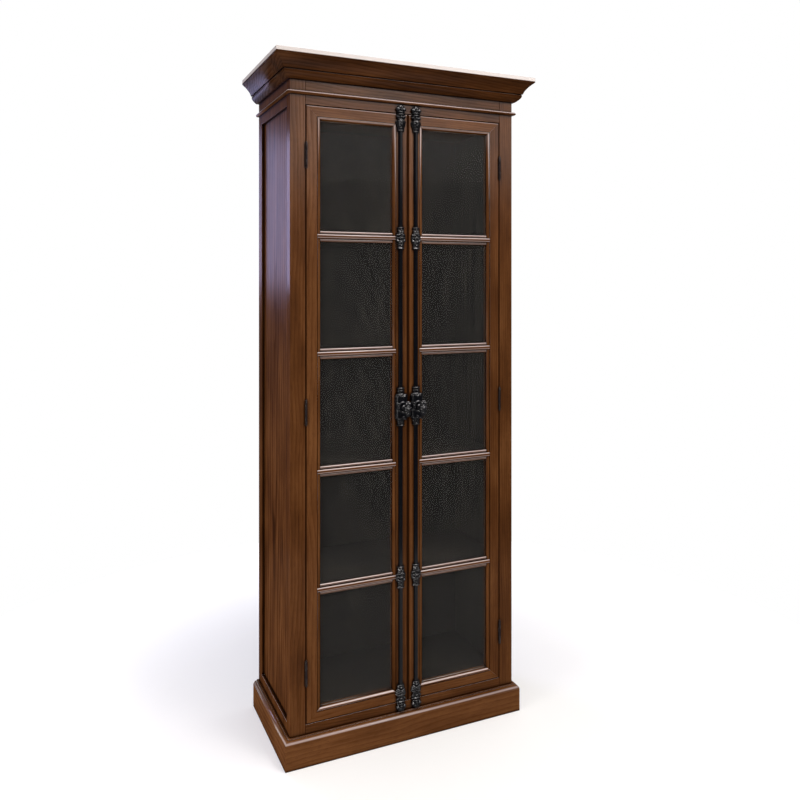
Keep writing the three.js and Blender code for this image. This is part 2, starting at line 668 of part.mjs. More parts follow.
function boltEnd() {
  const y1 = -GEAR_BACK_SET;
  const y0 = y1 - GEAR_FACE;
  const placed = rackPiece().map(([x, z]) => [ROD_X + x, CASE_CENTRE + z]);
  const rack = prismY(placed, y0, y1);
  const inner = ROD_X - PITCH_RADIUS + GEAR_ADDENDUM + GEAR_BACKLASH * 2;
  const outer = ROD_X + PITCH_RADIUS + GEAR_DEDENDUM + RACK_BACK_THICKNESS;
  const z0 = CASE_CENTRE + JOG_START;
  const jog = block(inner, outer, y0, y1, z0, z0 + JOG_HEIGHT);
  const neck = rodBar(z0, boltStemEnd() + GEAR_BACKLASH);
  const trimmed = neck.subtract(block(ROD_X - ROD_WIDTH, inner, -ROD_WIDTH, 0, 0, TOTAL_HEIGHT));
  return union([rack, jog, trimmed]);
}

function boltStemEnd() {
  return CASE_CENTRE + RACK_REACH + GEAR_BACKLASH * 2;
}

function upperBolt() {
  return rodBar(boltStemEnd(), DOOR.top - ROD_END_SET).add(boltEnd());
}

function lowerBolt() {
  const geometry = geometryOf(boltEnd());
  geometry.translate(-ROD_X, 0, -CASE_CENTRE);
  geometry.rotateY(Math.PI);
  geometry.translate(ROD_X, 0, CASE_CENTRE);
  const stem = rodBar(DOOR.bottom + ROD_END_SET, CASE_CENTRE * 2 - boltStemEnd());
  return stem.add(solid(geometry));
}

// Pinion, spindle and knob.
function involute(angle) {
  return Math.tan(angle) - angle;
}

function pinionOutline() {
  const base = PITCH_RADIUS * Math.cos(PRESSURE_ANGLE);
  const root = PITCH_RADIUS - GEAR_DEDENDUM;
  const tip = PITCH_RADIUS + GEAR_ADDENDUM;
  const halfPitch = (Math.PI * GEAR_MODULE) / 4 - GEAR_BACKLASH / 4;
  const halfAngle = halfPitch / PITCH_RADIUS + involute(PRESSURE_ANGLE);
  const flank = [[root, halfAngle]];
  for (let i = 0; i <= FLANK_STEPS; i += 1) {
    const radius = base + ((tip - base) * i) / FLANK_STEPS;
    flank.push([radius, halfAngle - involute(Math.acos(base / radius))]);
  }
  const points = [];
  for (let tooth = 0; tooth < PINION_TEETH; tooth += 1) {
    const centre = (tooth / PINION_TEETH) * Math.PI * 2;
    const before = flank.map(([radius, angle]) => [radius, centre - angle]);
    const after = flank.map(([radius, angle]) => [radius, centre + angle]).reverse();
    before.concat(after).forEach(([radius, angle]) => {
      points.push([radius * Math.cos(angle), radius * Math.sin(angle)]);
    });
  }
  return points;
}

function knob() {
  const teeth = pinionOutline().map(([x, z]) => [ROD_X + x, CASE_CENTRE + z]);
  const pinion = prismY(teeth, -GEAR_BACK_SET - GEAR_FACE, -GEAR_BACK_SET);
  const centreY = -KNOB_REACH + KNOB_DEPTH / 2;
  const spindle = roundY(ROD_X, CASE_CENTRE, SPINDLE_RADIUS, centreY, -FIT_GAP, HOLE_FACETS);
  const collarBack = -CASE_DEPTH - FIT_GAP;
  const collarFront = collarBack - SPINDLE_COLLAR_WIDTH;
  const collar = roundY(ROD_X, CASE_CENTRE, SPINDLE_COLLAR_RADIUS, collarFront, collarBack, ROUND_FACETS);
  const radii = [KNOB_WIDTH / 2, KNOB_DEPTH / 2, KNOB_LENGTH / 2];
  const oval = swell(ROD_X, centreY, CASE_CENTRE, ...radii, KNOB_FACETS, KNOB_RINGS);
  return union([pinion, spindle, collar, oval]);
}

// Castings: a flat outline plate with raised swells, all symmetric about the rod.
const END_GUIDE = {
  outlineShares: [
    [0.72, 0], [0.8, 0.06], [0.62, 0.13], [0.84, 0.24], [1, 0.36], [0.86, 0.47], [0.92, 0.55],
    [0.78, 0.66], [0.66, 0.76], [0.7, 0.85], [0.56, 0.94], [0.42, 1],
  ],
  swellShares: [[0, 0.13, 0.66, 0.11, 0.9], [0, 0.4, 0.74, 0.2, 1], [0, 0.76, 0.52, 0.18, 0.86]],
  pairShares: [[0.62, 0.36, 0.3, 0.13, 0.6], [0.58, 0.56, 0.26, 0.11, 0.52]],
};
const MID_GUIDE = {
  outlineShares: [
    [0.56, 0], [0.7, 0.05], [0.62, 0.14], [0.72, 0.25], [0.66, 0.36], [0.96, 0.44], [1, 0.5],
    [0.96, 0.56], [0.66, 0.64], [0.72, 0.75], [0.62, 0.86], [0.7, 0.95], [0.56, 1],
  ],
  swellShares: [[0, 0.16, 0.56, 0.13, 0.86], [0, 0.5, 0.66, 0.17, 1], [0, 0.84, 0.56, 0.13, 0.86]],
  pairShares: [[0.68, 0.5, 0.3, 0.09, 0.62], [0.4, 0.3, 0.26, 0.1, 0.56], [0.4, 0.7, 0.26, 0.1, 0.56]],
};
const KEEPER = {
  outlineShares: [
    [0.76, 0], [0.84, 0.12], [0.7, 0.26], [0.92, 0.46], [0.96, 0.6], [0.8, 0.78], [0.62, 0.92], [0.42, 1],
  ],
  swellShares: [[0, 0.2, 0.72, 0.2, 0.9], [0, 0.62, 0.7, 0.34, 1]],
  pairShares: [[0.6, 0.52, 0.3, 0.24, 0.56]],
};
const CASE = {
  outlineShares: [
    [0.5, 0], [0.6, 0.03], [0.52, 0.09], [0.68, 0.17], [0.98, 0.24], [1, 0.29], [0.95, 0.34], [0.95, 0.62],
    [1, 0.68], [0.92, 0.74], [0.72, 0.79], [0.66, 0.86], [0.74, 0.91], [0.62, 0.95], [0.66, 0.98], [0.56, 1],
  ],
  swellShares: [
    [0, 0.12, 0.44, 0.1, 0.66], [0, 0.3, 0.6, 0.12, 0.78], [0, 0.72, 0.62, 0.13, 0.8],
    [0, 0.9, 0.52, 0.09, 0.66],
  ],
  pairShares: [[0.72, 0.28, 0.26, 0.06, 0.42], [0.72, 0.7, 0.26, 0.06, 0.42]],
};
const PLATE_DEPTH_SHARE = 0.34;
const TUNNEL_INSET_SHARE = 0.03;
const HOUSING_WIDTH_SHARE = 0.92;
const HOUSING_SECTION_SHARES = [[1, 0], [1, 0.6], [0.97, 0.76], [0.89, 0.89], [0.76, 0.97], [0.6, 1]];
const HOUSING_FLANK_SHARES = [
  [0, 0.2], [0.56, 0.2], [0.78, 0.215], [0.93, 0.245], [1, 0.29], [1, 0.71], [0.93, 0.755],
  [0.78, 0.785], [0.56, 0.8], [0, 0.8],
];

function castOutline(shares, width, z0, length) {
  const left = shares.map(([out, up]) => [ROD_X - (out * width) / 2, z0 + up * length]);
  const right = shares.map(([out, up]) => [ROD_X + (out * width) / 2, z0 + up * length]);
  return right.concat(left.reverse());
}

function castSwell(form, side, width, depth, z0, length) {
  const [out, up, wide, tall, deep] = form;
  const x = ROD_X + (side * out * width) / 2;
  const radii = [(wide * width) / 2, depth * deep, tall * Math.abs(length)];
  return swell(x, 0, z0 + up * length, radii[0], radii[1], radii[2], SWELL_FACETS, SWELL_RINGS);
}

function rawCasting(form, width, depth, z0, length) {
  const pieces = [prismY(castOutline(form.outlineShares, width, z0, length), -depth * PLATE_DEPTH_SHARE, 0)];
  const inset = Math.abs(length) * TUNNEL_INSET_SHARE;
  const low = Math.min(z0, z0 + length);
  const high = Math.max(z0, z0 + length);
  pieces.push(prismZ(rodSection(TUNNEL_WALL), low + inset, high - inset));
  form.swellShares.forEach((entry) => pieces.push(castSwell(entry, 0, width, depth, z0, length)));
  form.pairShares.forEach((entry) => {
    pieces.push(castSwell(entry, 1, width, depth, z0, length));
    pieces.push(castSwell(entry, -1, width, depth, z0, length));
  });
  const keep = block(ROD_X - width, ROD_X + width, -depth * 2, -FIT_GAP, low, high);
  return union(pieces).intersect(keep);
}

function guide(form, z0, length) {
  return rawCasting(form, GUIDE_WIDTH, GUIDE_DEPTH, z0, length).subtract(rodChannel(0, TOTAL_HEIGHT));
}

function midGuide(centre) {
  return guide(MID_GUIDE, centre - MID_GUIDE_LENGTH / 2, MID_GUIDE_LENGTH);
}

function topKeeper() {
  const body = rawCasting(KEEPER, GUIDE_WIDTH, KEEPER_DEPTH, OPENING_TOP + FIT_GAP, TOP_KEEPER_LENGTH);
  return body.subtract(rodChannel(0, OPENING_TOP + KEEPER_SOCKET));
}

function bottomKeeper() {
  const body = rawCasting(KEEPER, GUIDE_WIDTH, KEEPER_DEPTH, OPENING_BOTTOM - FIT_GAP, -BOTTOM_KEEPER_LENGTH);
  return body.subtract(rodChannel(OPENING_BOTTOM - KEEPER_SOCKET, TOTAL_HEIGHT));
}

// The housing over the gear: an arched section along the rod, with both ends rounded off.
function caseHousing(z0) {
  const half = (CASE_WIDTH * HOUSING_WIDTH_SHARE) / 2;
  const section = HOUSING_SECTION_SHARES.map(([out, deep]) => [out * half, -deep * CASE_DEPTH]);
  const left = section.map(([out, y]) => [ROD_X - out, y]);
  const right = section.map(([out, y]) => [ROD_X + out, y]).reverse();
  const arched = prismZ(left.concat(right), z0, z0 + CASE_LENGTH);
  const flank = HOUSING_FLANK_SHARES.map(([deep, up]) => [-deep * CASE_DEPTH, z0 + up * CASE_LENGTH]);
  const rounded = prismX(flank, ROD_X - CASE_WIDTH, ROD_X + CASE_WIDTH);
  const face = block(ROD_X - CASE_WIDTH, ROD_X + CASE_WIDTH, -FIT_GAP, CASE_DEPTH, z0, z0 + CASE_LENGTH);
  return arched.intersect(rounded).subtract(face);
}

function gearCase() {
  const z0 = CASE_CENTRE - CASE_LENGTH / 2;
  const outside = rawCasting(CASE, CASE_WIDTH, CASE_DEPTH, z0, CASE_LENGTH).add(caseHousing(z0));
  const cavity = block(
    ROD_X - CASE_CAVITY_WIDTH / 2, ROD_X + CASE_CAVITY_WIDTH / 2, -CASE_CAVITY_DEPTH, CASE_DEPTH,
    CASE_CENTRE - CASE_CAVITY_LENGTH / 2, CASE_CENTRE + CASE_CAVITY_LENGTH / 2,
  );
  const hole = roundY(ROD_X, CASE_CENTRE, SPINDLE_RADIUS + PIN_CLEARANCE, -CASE_DEPTH * 2, 0, HOLE_FACETS);
  return less(outside, [rodChannel(0, TOTAL_HEIGHT), cavity, hole]);
}

// Looks.
const LOOKS = {
  oak: { color: 0x6f4527, roughness: 0.5, metalness: 0 },
  darkOak: { color: 0x2b2622, roughness: 0.6, metalness: 0 },
  iron: { color: 0x15171b, roughness: 0.42, metalness: 0.6 },
  glass: { color: 0xb9c4c0, roughness: 0.05, metalness: 0, transparent: true, opacity: 0.25 },
};

const bookcase = new THREE.Group();

function place(name, geometry, look) {
  const finished = geometry.clone();
  finished.computeVertexNormals();
  const mesh = new THREE.Mesh(finished, new THREE.MeshStandardMaterial({ ...LOOKS[look] }));
  mesh.name = name;
  mesh.position.set(0, DEPTH_SHIFT, 0);
  bookcase.add(mesh);
}

function placePair(name, manifold, look) {
  const geometry = geometryOf(manifold);
  place(`${name}_left`, geometry, look);
  place(`${name}_right`, mirroredX(geometry), look);
}

place("plinth", geometryOf(plinth()), "oak");
place("astragal", geometryOf(astragal()), "oak");
place("cornice", geometryOf(cornice()), "oak");
place("bottom_rail_floor", geometryOf(bottomRailAndFloor()), "oak");
place("frieze_rail_top", geometryOf(friezeRailAndCeiling()), "oak");
place("back_panel", geometryOf(backPanel()), "darkOak");
BAR_CENTRES.forEach((centre, i) => place(`shelf_${i + 1}`, geometryOf(shelf(centre)), "darkOak"));

placePair("front_post", frontPost(), "oak");
placePair("side_frame", sideFrame(), "oak");
placePair("side_panel", sidePanel(), "oak");

placePair("hinge_stile", hingeStile(), "oak");
placePair("meeting_stile", meetingStile(), "oak");
placePair("door_top_rail", doorTopRail(), "oak");
placePair("door_bottom_rail", doorBottomRail(), "oak");
placePair("glass_sheet", glassSheet(), "glass");
BAR_CENTRES.forEach((centre, i) => placePair(`glazing_bar_${i + 1}`, glazingBar(centre), "oak"));
HINGE_CENTRES.forEach((centre, i) => placePair(`frame_hinge_${i + 1}`, frameHinge(centre), "iron"));

placePair("gear_case", gearCase(), "iron");
placePair("knob", knob(), "iron");
placePair("upper_bolt", upperBolt(), "iron");
placePair("lower_bolt", lowerBolt(), "iron");
placePair("top_guide", guide(END_GUIDE, DOOR.top - FIT_GAP, -END_GUIDE_LENGTH), "iron");
placePair("bottom_guide", guide(END_GUIDE, DOOR.bottom + FIT_GAP, END_GUIDE_LENGTH), "iron");
placePair("upper_mid_guide", midGuide(BAR_CENTRES[3]), "iron");
placePair("lower_mid_guide", midGuide(BAR_CENTRES[0]), "iron");
placePair("top_keeper", topKeeper(), "iron");
placePair("bottom_keeper", bottomKeeper(), "iron");

export default bookcase;
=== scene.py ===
"""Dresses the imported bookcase: stained oak, charcoal interior, clear glass and cast ironwork."""
import math

import bmesh
import bpy
from mathutils import Matrix, Vector


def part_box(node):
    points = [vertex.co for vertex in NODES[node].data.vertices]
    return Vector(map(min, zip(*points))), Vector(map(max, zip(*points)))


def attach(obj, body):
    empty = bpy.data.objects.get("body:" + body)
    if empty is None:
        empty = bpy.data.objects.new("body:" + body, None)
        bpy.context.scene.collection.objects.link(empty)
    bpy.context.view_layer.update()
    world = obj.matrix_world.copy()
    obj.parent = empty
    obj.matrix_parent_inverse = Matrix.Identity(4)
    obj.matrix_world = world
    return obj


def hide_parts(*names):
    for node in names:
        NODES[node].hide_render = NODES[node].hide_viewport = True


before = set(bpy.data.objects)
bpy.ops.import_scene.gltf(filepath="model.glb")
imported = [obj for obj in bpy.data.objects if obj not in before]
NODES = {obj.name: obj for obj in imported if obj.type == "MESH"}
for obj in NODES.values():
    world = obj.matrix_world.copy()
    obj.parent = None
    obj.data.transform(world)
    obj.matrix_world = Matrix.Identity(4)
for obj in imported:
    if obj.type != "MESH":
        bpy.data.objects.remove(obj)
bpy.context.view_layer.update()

MM = 0.001
WHITE = (1.0, 1.0, 1.0, 1.0)
SIDES = (("left", -1), ("right", 1))

# Camera, light and floor
CAMERA_PLACE = (-1.069, -2.468, 1.496)
CAMERA_YAW = math.radians(-24.265)
CAMERA_LENS = 34.81
CAMERA_SHIFT = -0.1483
AMBIENT_LOW = (0.26, 0.25, 0.25, 1.0)
AMBIENT_HIGH = (0.42, 0.42, 0.43, 1.0)
ROOM_LOW = (0.055, 0.052, 0.050, 1.0)
ROOM_HIGH = (0.62, 0.58, 0.58, 1.0)
ROOM_LEFT = (0.16, 0.17, 0.30, 1.0)
BACKDROP_AHEAD = (0.35, 0.65)
BACKDROP_ACROSS = (-0.12, 0.06)
ROOM_LEFT_ACROSS = (-0.12, -0.22)
ROOM_UP = (0.12, 0.60)
SKY_UP = (-0.1, 0.9)
FLOOR_COLOUR = (0.72, 0.72, 0.71, 1.0)
FLOOR_LIFT_NEAR = 0.26
FLOOR_LIFT_FAR = 0.6
FLOOR_FADE = (0.7, 1.7)
FLOOR_RADIUS = 1.9
FLOOR_SIDES = 96
FLOOR_DROP = 0.5 * MM
LAMPS = (
    # name, place, aim, width and height in metres, watts, colour
    ("ceiling", (0.4, -0.9, 4.0), (0.4, -0.9, 0.0), (2.6, 3.0), 100.0, (1.0, 0.95, 0.93)),
    ("key", (0.6, -1.8, 3.0), (0.0, -0.15, 1.3), (0.6, 0.6), 18.0, (1.0, 0.96, 0.93)),
    ("front_high", (1.6, -3.9, 2.8), (0.0, -0.1, 2.0), (3.2, 0.9), 30.0, (1.0, 0.96, 0.94)),
    ("left", (-2.4, -0.9, 0.8), (-0.4, 0.0, 0.25), (1.2, 1.0), 32.0, (1.0, 0.95, 0.90)),
    ("side_sky", (-1.07, 2.5, 1.95), (-0.4, 0.0, 1.75), (0.8, 1.0), 30.0, (0.58, 0.58, 1.0)),
)


def node_of(tree, kind, **values):
    made = tree.nodes.new(kind)
    for key, value in values.items():
        setattr(made, key, value)
    return made


def put(socket, value):
    """Sets a socket to a number or colour, or links another socket to it."""
    if isinstance(value, bpy.types.NodeSocket):
        socket.id_data.links.new(value, socket)
    else:
        socket.default_value = value


def calc(tree, operation, *values):
    made = node_of(tree, "ShaderNodeMath", operation=operation)
    for socket, value in zip(made.inputs, values):
        put(socket, value)
    return made.outputs[0]


def vector_calc(tree, operation, *values):
    made = node_of(tree, "ShaderNodeVectorMath", operation=operation)
    for socket, value in zip(made.inputs, values):
        put(socket, value)
    return made.outputs[0]


def product(tree, first, *others):
    for other in others:
        first = calc(tree, "MULTIPLY", first, other)
    return first


def scale_add(tree, source, factor, extra):
    return calc(tree, "MULTIPLY_ADD", source, factor, extra)


def between_numbers(tree, share, first, second):
    """first where share is 0, second where it is 1."""
    return scale_add(tree, share, calc(tree, "SUBTRACT", second, first), first)


def split_of(tree, vector):
    made = node_of(tree, "ShaderNodeSeparateXYZ")
    put(made.inputs[0], vector)
    return made.outputs


def ramp(tree, source, stops):
    """stops is a list of (position, colour)."""
    made = node_of(tree, "ShaderNodeValToRGB")
    elements = made.color_ramp.elements
    while len(elements) > 1:
        elements.remove(elements[-1])
    elements[0].position, elements[0].color = stops[0]
    for position, colour in stops[1:]:
        elements.new(position).color = colour
    put(made.inputs[0], source)
    return made.outputs[0]


def grey_ramp(tree, source, stops):
    """stops is a list of (position, brightness)."""
    return ramp(tree, source, [(position, (level, level, level, 1.0)) for position, level in stops])


def mix(tree, factor, first, second, blend="MIX"):
    made = node_of(tree, "ShaderNodeMix", data_type="RGBA", blend_type=blend)
    put(made.inputs["Factor"], factor)
    put(made.inputs[6], first)
    put(made.inputs[7], second)
    return made.outputs[2]


def noise(tree, place, scale, detail=3.0, roughness=0.5):
    made = node_of(tree, "ShaderNodeTexNoise")
    put(made.inputs["Vector"], place)
    put(made.inputs["Scale"], scale)
    put(made.inputs["Detail"], detail)
    put(made.inputs["Roughness"], roughness)
    return made.outputs["Fac"]


def scaled(tree, place, factors):
    return vector_calc(tree, "MULTIPLY", place, factors)


def smooth_step(tree, source, limits):
    """0 at the first limit, 1 at the second, and a soft change between."""
    made = node_of(tree, "ShaderNodeMapRange", interpolation_type="SMOOTHSTEP")
    put(made.inputs["Value"], source)
    put(made.inputs["From Min"], limits[0])
    put(made.inputs["From Max"], limits[1])
    return made.outputs[0]


def seen_directly(tree):
    """1 for rays from the camera, in mirrors and through glass, 0 for light on the object."""
    path = node_of(tree, "ShaderNodeLightPath")
    sight = calc(tree, "MAXIMUM", path.outputs["Is Camera Ray"], path.outputs["Is Glossy Ray"])
    return calc(tree, "MAXIMUM", sight, path.outputs["Is Transmission Ray"]), path


def make_camera():
    data = bpy.data.cameras.new("photo_camera")
    data.sensor_fit = "HORIZONTAL"
    data.sensor_width = 36.0
    data.lens = CAMERA_LENS
    data.shift_y = CAMERA_SHIFT
    data.clip_end = 60.0
    camera = bpy.data.objects.new("photo_camera", data)
    camera.location = CAMERA_PLACE
    camera.rotation_euler = (math.pi / 2, 0.0, CAMERA_YAW)
    bpy.context.scene.collection.objects.link(camera)
    bpy.context.scene.camera = camera


def make_world():
    world = bpy.data.worlds.new("studio")
    bpy.context.scene.world = world
    world.use_nodes = True
    tree = world.node_tree
    tree.nodes.clear()
    sight, path = seen_directly(tree)
    across, ahead, up = split_of(tree, node_of(tree, "ShaderNodeTexCoord").outputs["Generated"])
    far = smooth_step(tree, ahead, BACKDROP_AHEAD)
    backdrop = product(tree, far, smooth_step(tree, across, BACKDROP_ACROSS))
    left = product(tree, far, smooth_step(tree, across, ROOM_LEFT_ACROSS))
    room = mix(tree, smooth_step(tree, up, ROOM_UP), ROOM_LOW, ROOM_HIGH)
    mirrored = mix(tree, backdrop, mix(tree, left, room, ROOM_LEFT), WHITE)
    straight = calc(tree, "LESS_THAN", path.outputs["Diffuse Depth"], 0.5)
    through = product(tree, path.outputs["Is Transmission Ray"], straight)
    behind = calc(tree, "MAXIMUM", path.outputs["Is Camera Ray"], through)
    shown = mix(tree, behind, mirrored, WHITE)
    light = mix(tree, smooth_step(tree, up, SKY_UP), AMBIENT_LOW, AMBIENT_HIGH)
    background = node_of(tree, "ShaderNodeBackground")
    put(background.inputs["Color"], mix(tree, sight, light, shown))
    output = node_of(tree, "ShaderNodeOutputWorld")
    tree.links.new(background.outputs[0], output.inputs[0])


def make_lamps():
    for name, place, aim, size, watts, colour in LAMPS:
        data = bpy.data.lights.new(name, "AREA")
        data.shape = "RECTANGLE"
        data.size, data.size_y = size
        data.energy = watts
        data.color = colour
        lamp = bpy.data.objects.new(name, data)
        lamp.location = place
        turn = (Vector(aim) - Vector(place)).to_track_quat("-Z", "Y")
        lamp.rotation_euler = turn.to_euler()
        bpy.context.scene.collection.objects.link(lamp)


def make_floor():
    mesh = bpy.data.meshes.new("floor")
    rim = []
    for index in range(FLOOR_SIDES):
        angle = 2 * math.pi * index / FLOOR_SIDES
        rim.append((math.cos(angle) * FLOOR_RADIUS, math.sin(angle) * FLOOR_RADIUS, 0.0))
    mesh.from_pydata(rim, [], [list(range(FLOOR_SIDES))])
    floor = bpy.data.objects.new("floor", mesh)
    floor.location.z = -FLOOR_DROP
    bpy.context.scene.collection.objects.link(floor)
    material = bpy.data.materials.new("pale_floor")
    material.use_nodes = True
    tree = material.node_tree
    tree.nodes.clear()
    diffuse = node_of(tree, "ShaderNodeBsdfDiffuse")
    put(diffuse.inputs["Color"], FLOOR_COLOUR)
    glow = node_of(tree, "ShaderNodeEmission")
    put(glow.inputs["Color"], WHITE)
    sight, path = seen_directly(tree)
    away = node_of(tree, "ShaderNodeVectorMath", operation="LENGTH")
    put(away.inputs[0], node_of(tree, "ShaderNodeTexCoord").outputs["Object"])
    fade = node_of(tree, "ShaderNodeMapRange", interpolation_type="SMOOTHSTEP")
    for socket, value in zip(fade.inputs[1:5], FLOOR_FADE + (FLOOR_LIFT_NEAR, FLOOR_LIFT_FAR)):
        put(socket, value)
    put(fade.inputs["Value"], away.outputs["Value"])
    put(glow.inputs["Strength"], product(tree, sight, fade.outputs[0]))
    total = node_of(tree, "ShaderNodeAddShader")
    put(total.inputs[0], diffuse.outputs[0])
    put(total.inputs[1], glow.outputs[0])
    output = node_of(tree, "ShaderNodeOutputMaterial")
    put(output.inputs["Surface"], total.outputs[0])
    mesh.materials.append(material)


# Materials
OAK = (
    (0.030, 0.0100, 0.0032, 1.0),
    (0.088, 0.0310, 0.0088, 1.0),
    (0.150, 0.0590, 0.0190, 1.0),
)
CHARCOAL = (
    (0.0060, 0.0051, 0.0043, 1.0),
    (0.0170, 0.0146, 0.0124, 1.0),
    (0.0340, 0.0295, 0.0250, 1.0),
)
STAIN_SHARES = (0.12, 0.5, 0.88)
# dark colour painted into recesses as shade
RECESS_SHADE = (0.08, 0.06, 0.05, 1.0)
# pale colours painted on the rounds and on the cornice's cap edge as highlights
PAINTED_HIGHLIGHT = (0.62, 0.51, 0.48, 1.0)
PAINTED_CAP_HIGHLIGHT = (0.74, 0.69, 0.66, 1.0)
HINGE_IRON = (0.020, 0.0150, 0.0150, 1.0)
BLACK_IRON = ((0.0015, 0.0017, 0.0025, 1.0), (0.0050, 0.0054, 0.0080, 1.0))
BRONZED_IRON = ((0.0080, 0.0055, 0.0052, 1.0), (0.0220, 0.0150, 0.0140, 1.0))
GLASS_TINT = (0.90, 0.88, 0.85, 1.0)
GLASS_SHADOW = (0.90, 0.94, 0.92, 1.0)

# Places on the object that the masks read, in metres
DOOR_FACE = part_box("meeting_stile_left")[0].y
DOOR_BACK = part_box("meeting_stile_left")[1].y
DOOR_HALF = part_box("door_top_rail_right")[1].x
DOOR_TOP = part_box("door_top_rail_right")[1].z
INSIDE_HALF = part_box("side_panel_right")[0].x + 0.5 * MM
FLOOR_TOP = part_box("bottom_rail_floor")[1].z
BARREL_INNER = -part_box("frame_hinge_1_left")[1].x
# the cornice's cap edge, above which a highlight is painted
CAP_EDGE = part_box("cornice")[1].z - 11 * MM
# where the painted shade line under the cornice's cap lies
CAP_SHADE_PLACE = CAP_EDGE - 3.2 * MM

# Lacquer: coat weights, with the heights or parts of the normal over which they change
SIDEWAYS = (0.06, 0.3)
FRONT_HEIGHTS = (0.3, 1.8)
FRONT_COAT = 0.06
FRONT_COAT_RISE = 0.28
FLANK_HEIGHTS = (0.4, 1.5)
FLANK_COAT = 0.02
FLANK_COAT_RISE = 0.12
ROUND_UP = (0.12, 0.45)
LEVEL_TOP = (0.98, 0.9)
ROUND_COAT = 0.9
CORNICE_COAT_SHARE = 0.3
RING_COAT_LEAST = 0.45
COAT_ROUGHNESS = 0.21
DULL_COAT_ROUGHNESS = 0.32

# Painted highlights: the parts of the normal between which a pale colour is painted as a highlight, and how
# far
HIGHLIGHT_FROM = (0.22, 0.5)
HIGHLIGHT_TO = (0.88, 0.7)
PLINTH_HIGHLIGHT_FROM = (0.4, 0.6)
PLINTH_HIGHLIGHT_TO = (0.9, 0.75)
PLINTH_AHEAD = (-0.3, -0.6)
PLINTH_HIGHLIGHT_SHARES = (0.06, 0.45)
UNDER_FROM = (-0.12, -0.25)
UNDER_TO = (-0.5, -0.36)
UNDER_HIGHLIGHT_SHARE = 0.5
TOP_HIGHLIGHT_PLACES = (DOOR_TOP - 3.2 * MM, DOOR_TOP - 2.6 * MM)
TOP_HIGHLIGHT_SHARE = 0.5
CORNICE_HIGHLIGHT_SHARE = 0.25
CAP_HIGHLIGHT_PLACES = (CAP_EDGE - 2 * MM, CAP_EDGE)
CAP_HIGHLIGHT_LEVEL = (0.9, 0.6)
PAINTED_HIGHLIGHT_SHARE = 0.85

# Figure of the wood: growth rings, streaks, clouds and pores
RING_SPACING = 7.5 * MM
PANEL_RING_SPACING = 21 * MM
BACK_RING_SPACING = 11 * MM
SHELF_RING_SPACING = 9 * MM
RING_FIGURE = 0.24
PANEL_RING_FIGURE = 0.60
RING_STOPS = ((0.0, 0.62), (0.05, 0.12), (0.22, 0.34), (0.5, 0.62), (0.85, 0.78), (1.0, 0.62))
EARLY_STOPS = ((0.0, 0.25), (0.06, 1.0), (0.3, 0.45), (0.7, 0.1))
PORE_STOPS = ((0.60, 0.0), (0.68, 1.0))
WANDER_SCALES = (3.0, 3.0, 1.1)
WANDER_REACH = 0.055
WOBBLE_SCALES = (60.0, 60.0, 5.0)
WOBBLE_RINGS = 0.55
STREAK_SCALES = (170.0, 170.0, 4.0)
STREAK_FIGURE = 0.42
BLOTCH_SCALES = (20.0, 20.0, 5.0)
BLOTCH_FIGURE = 0.90
PORE_SCALES = (1150.0, 1150.0, 42.0)
EARLY_PORES = 0.11
PORE_SHARE = 0.35
OAK_ROUGHNESS = 0.42
CHARCOAL_ROUGHNESS = 0.66
PORE_ROUGHNESS = 0.18
GRAIN_STRENGTH = 0.35
GRAIN_DEPTH = 0.25 * MM
RING_DEPTH_SHARE = 0.35

# Painted shade in recesses: how far it looks, and how open a place is where it starts and ends
SHADE_DISTANCE = 12 * MM
OPEN_SAMPLES = 8
SHADE_SHARES = (0.50, 0.93)
SIDE_SHADE_SHARES = (0.62, 0.97)
BAR_BACK = (0.8, 0.5)

# Wax on the castings: gloss on the open faces that look upward
WAX_DISTANCE = 6 * MM
WAX_SHARES = (0.62, 1.0)
WAX_UP = (0.0, 0.5)
WAX_LEAST = 0.09
WAX_RISE = 0.91
WAX_IOR = 1.95

# Iron and glass: scales of their noise, gloss and relief
IRON_FINE_SCALE = 2600.0
IRON_BROAD_SCALE = 160.0
IRON_TONE_SHARES = (0.3, 0.75)
IRON_ROUGHNESS = 0.22
IRON_ROUGHNESS_RISE = 0.25
IRON_SPECULAR = 0.06
IRON_COAT_ROUGHNESS = 0.08
IRON_GRAIN_DEPTH = 0.2 * MM
IRON_BROAD_GRAIN = 1.5
GLASS_IOR = 1.07
GLASS_CLEARNESS = 0.992
RIPPLE_SCALE = 9.0
RIPPLE_STRENGTH = 0.05
RIPPLE_DEPTH = 1.0 * MM


def new_material(name):
    material = bpy.data.materials.new(name)
    material.use_nodes = True
    tree = material.node_tree
    tree.nodes.clear()
    shader = node_of(tree, "ShaderNodeBsdfPrincipled")
    output = node_of(tree, "ShaderNodeOutputMaterial")
    put(output.inputs["Surface"], shader.outputs[0])
    return material, tree, shader


def grain_place(tree, axis, offset):
    """Object coordinates in metres, turned so that the grain runs along the third."""
    place = vector_calc(tree, "ADD", node_of(tree, "ShaderNodeTexCoord").outputs["Object"], offset)
    x, y, z = split_of(tree, place)
    orders = {"z": (x, y, z), "x": (z, y, x), "y": (x, z, y)}

    def joined(order):
        made = node_of(tree, "ShaderNodeCombineXYZ")
        for socket, source in zip(made.inputs, orders[order]):
            put(socket, source)
        return made.outputs[0]

    if axis in orders:
        return joined(axis)
    across, ahead, up = split_of(tree, node_of(tree, "ShaderNodeNewGeometry").outputs["Normal"])
    on_side = calc(
        tree, "GREATER_THAN",
        calc(tree, "ABSOLUTE", across), calc(tree, "ABSOLUTE", ahead),
    )
    made = node_of(tree, "ShaderNodeMix", data_type="VECTOR")
    put(made.inputs["Factor"], on_side)
    put(made.inputs[4], joined("x"))
    put(made.inputs[5], joined("y"))
    return made.outputs[1]


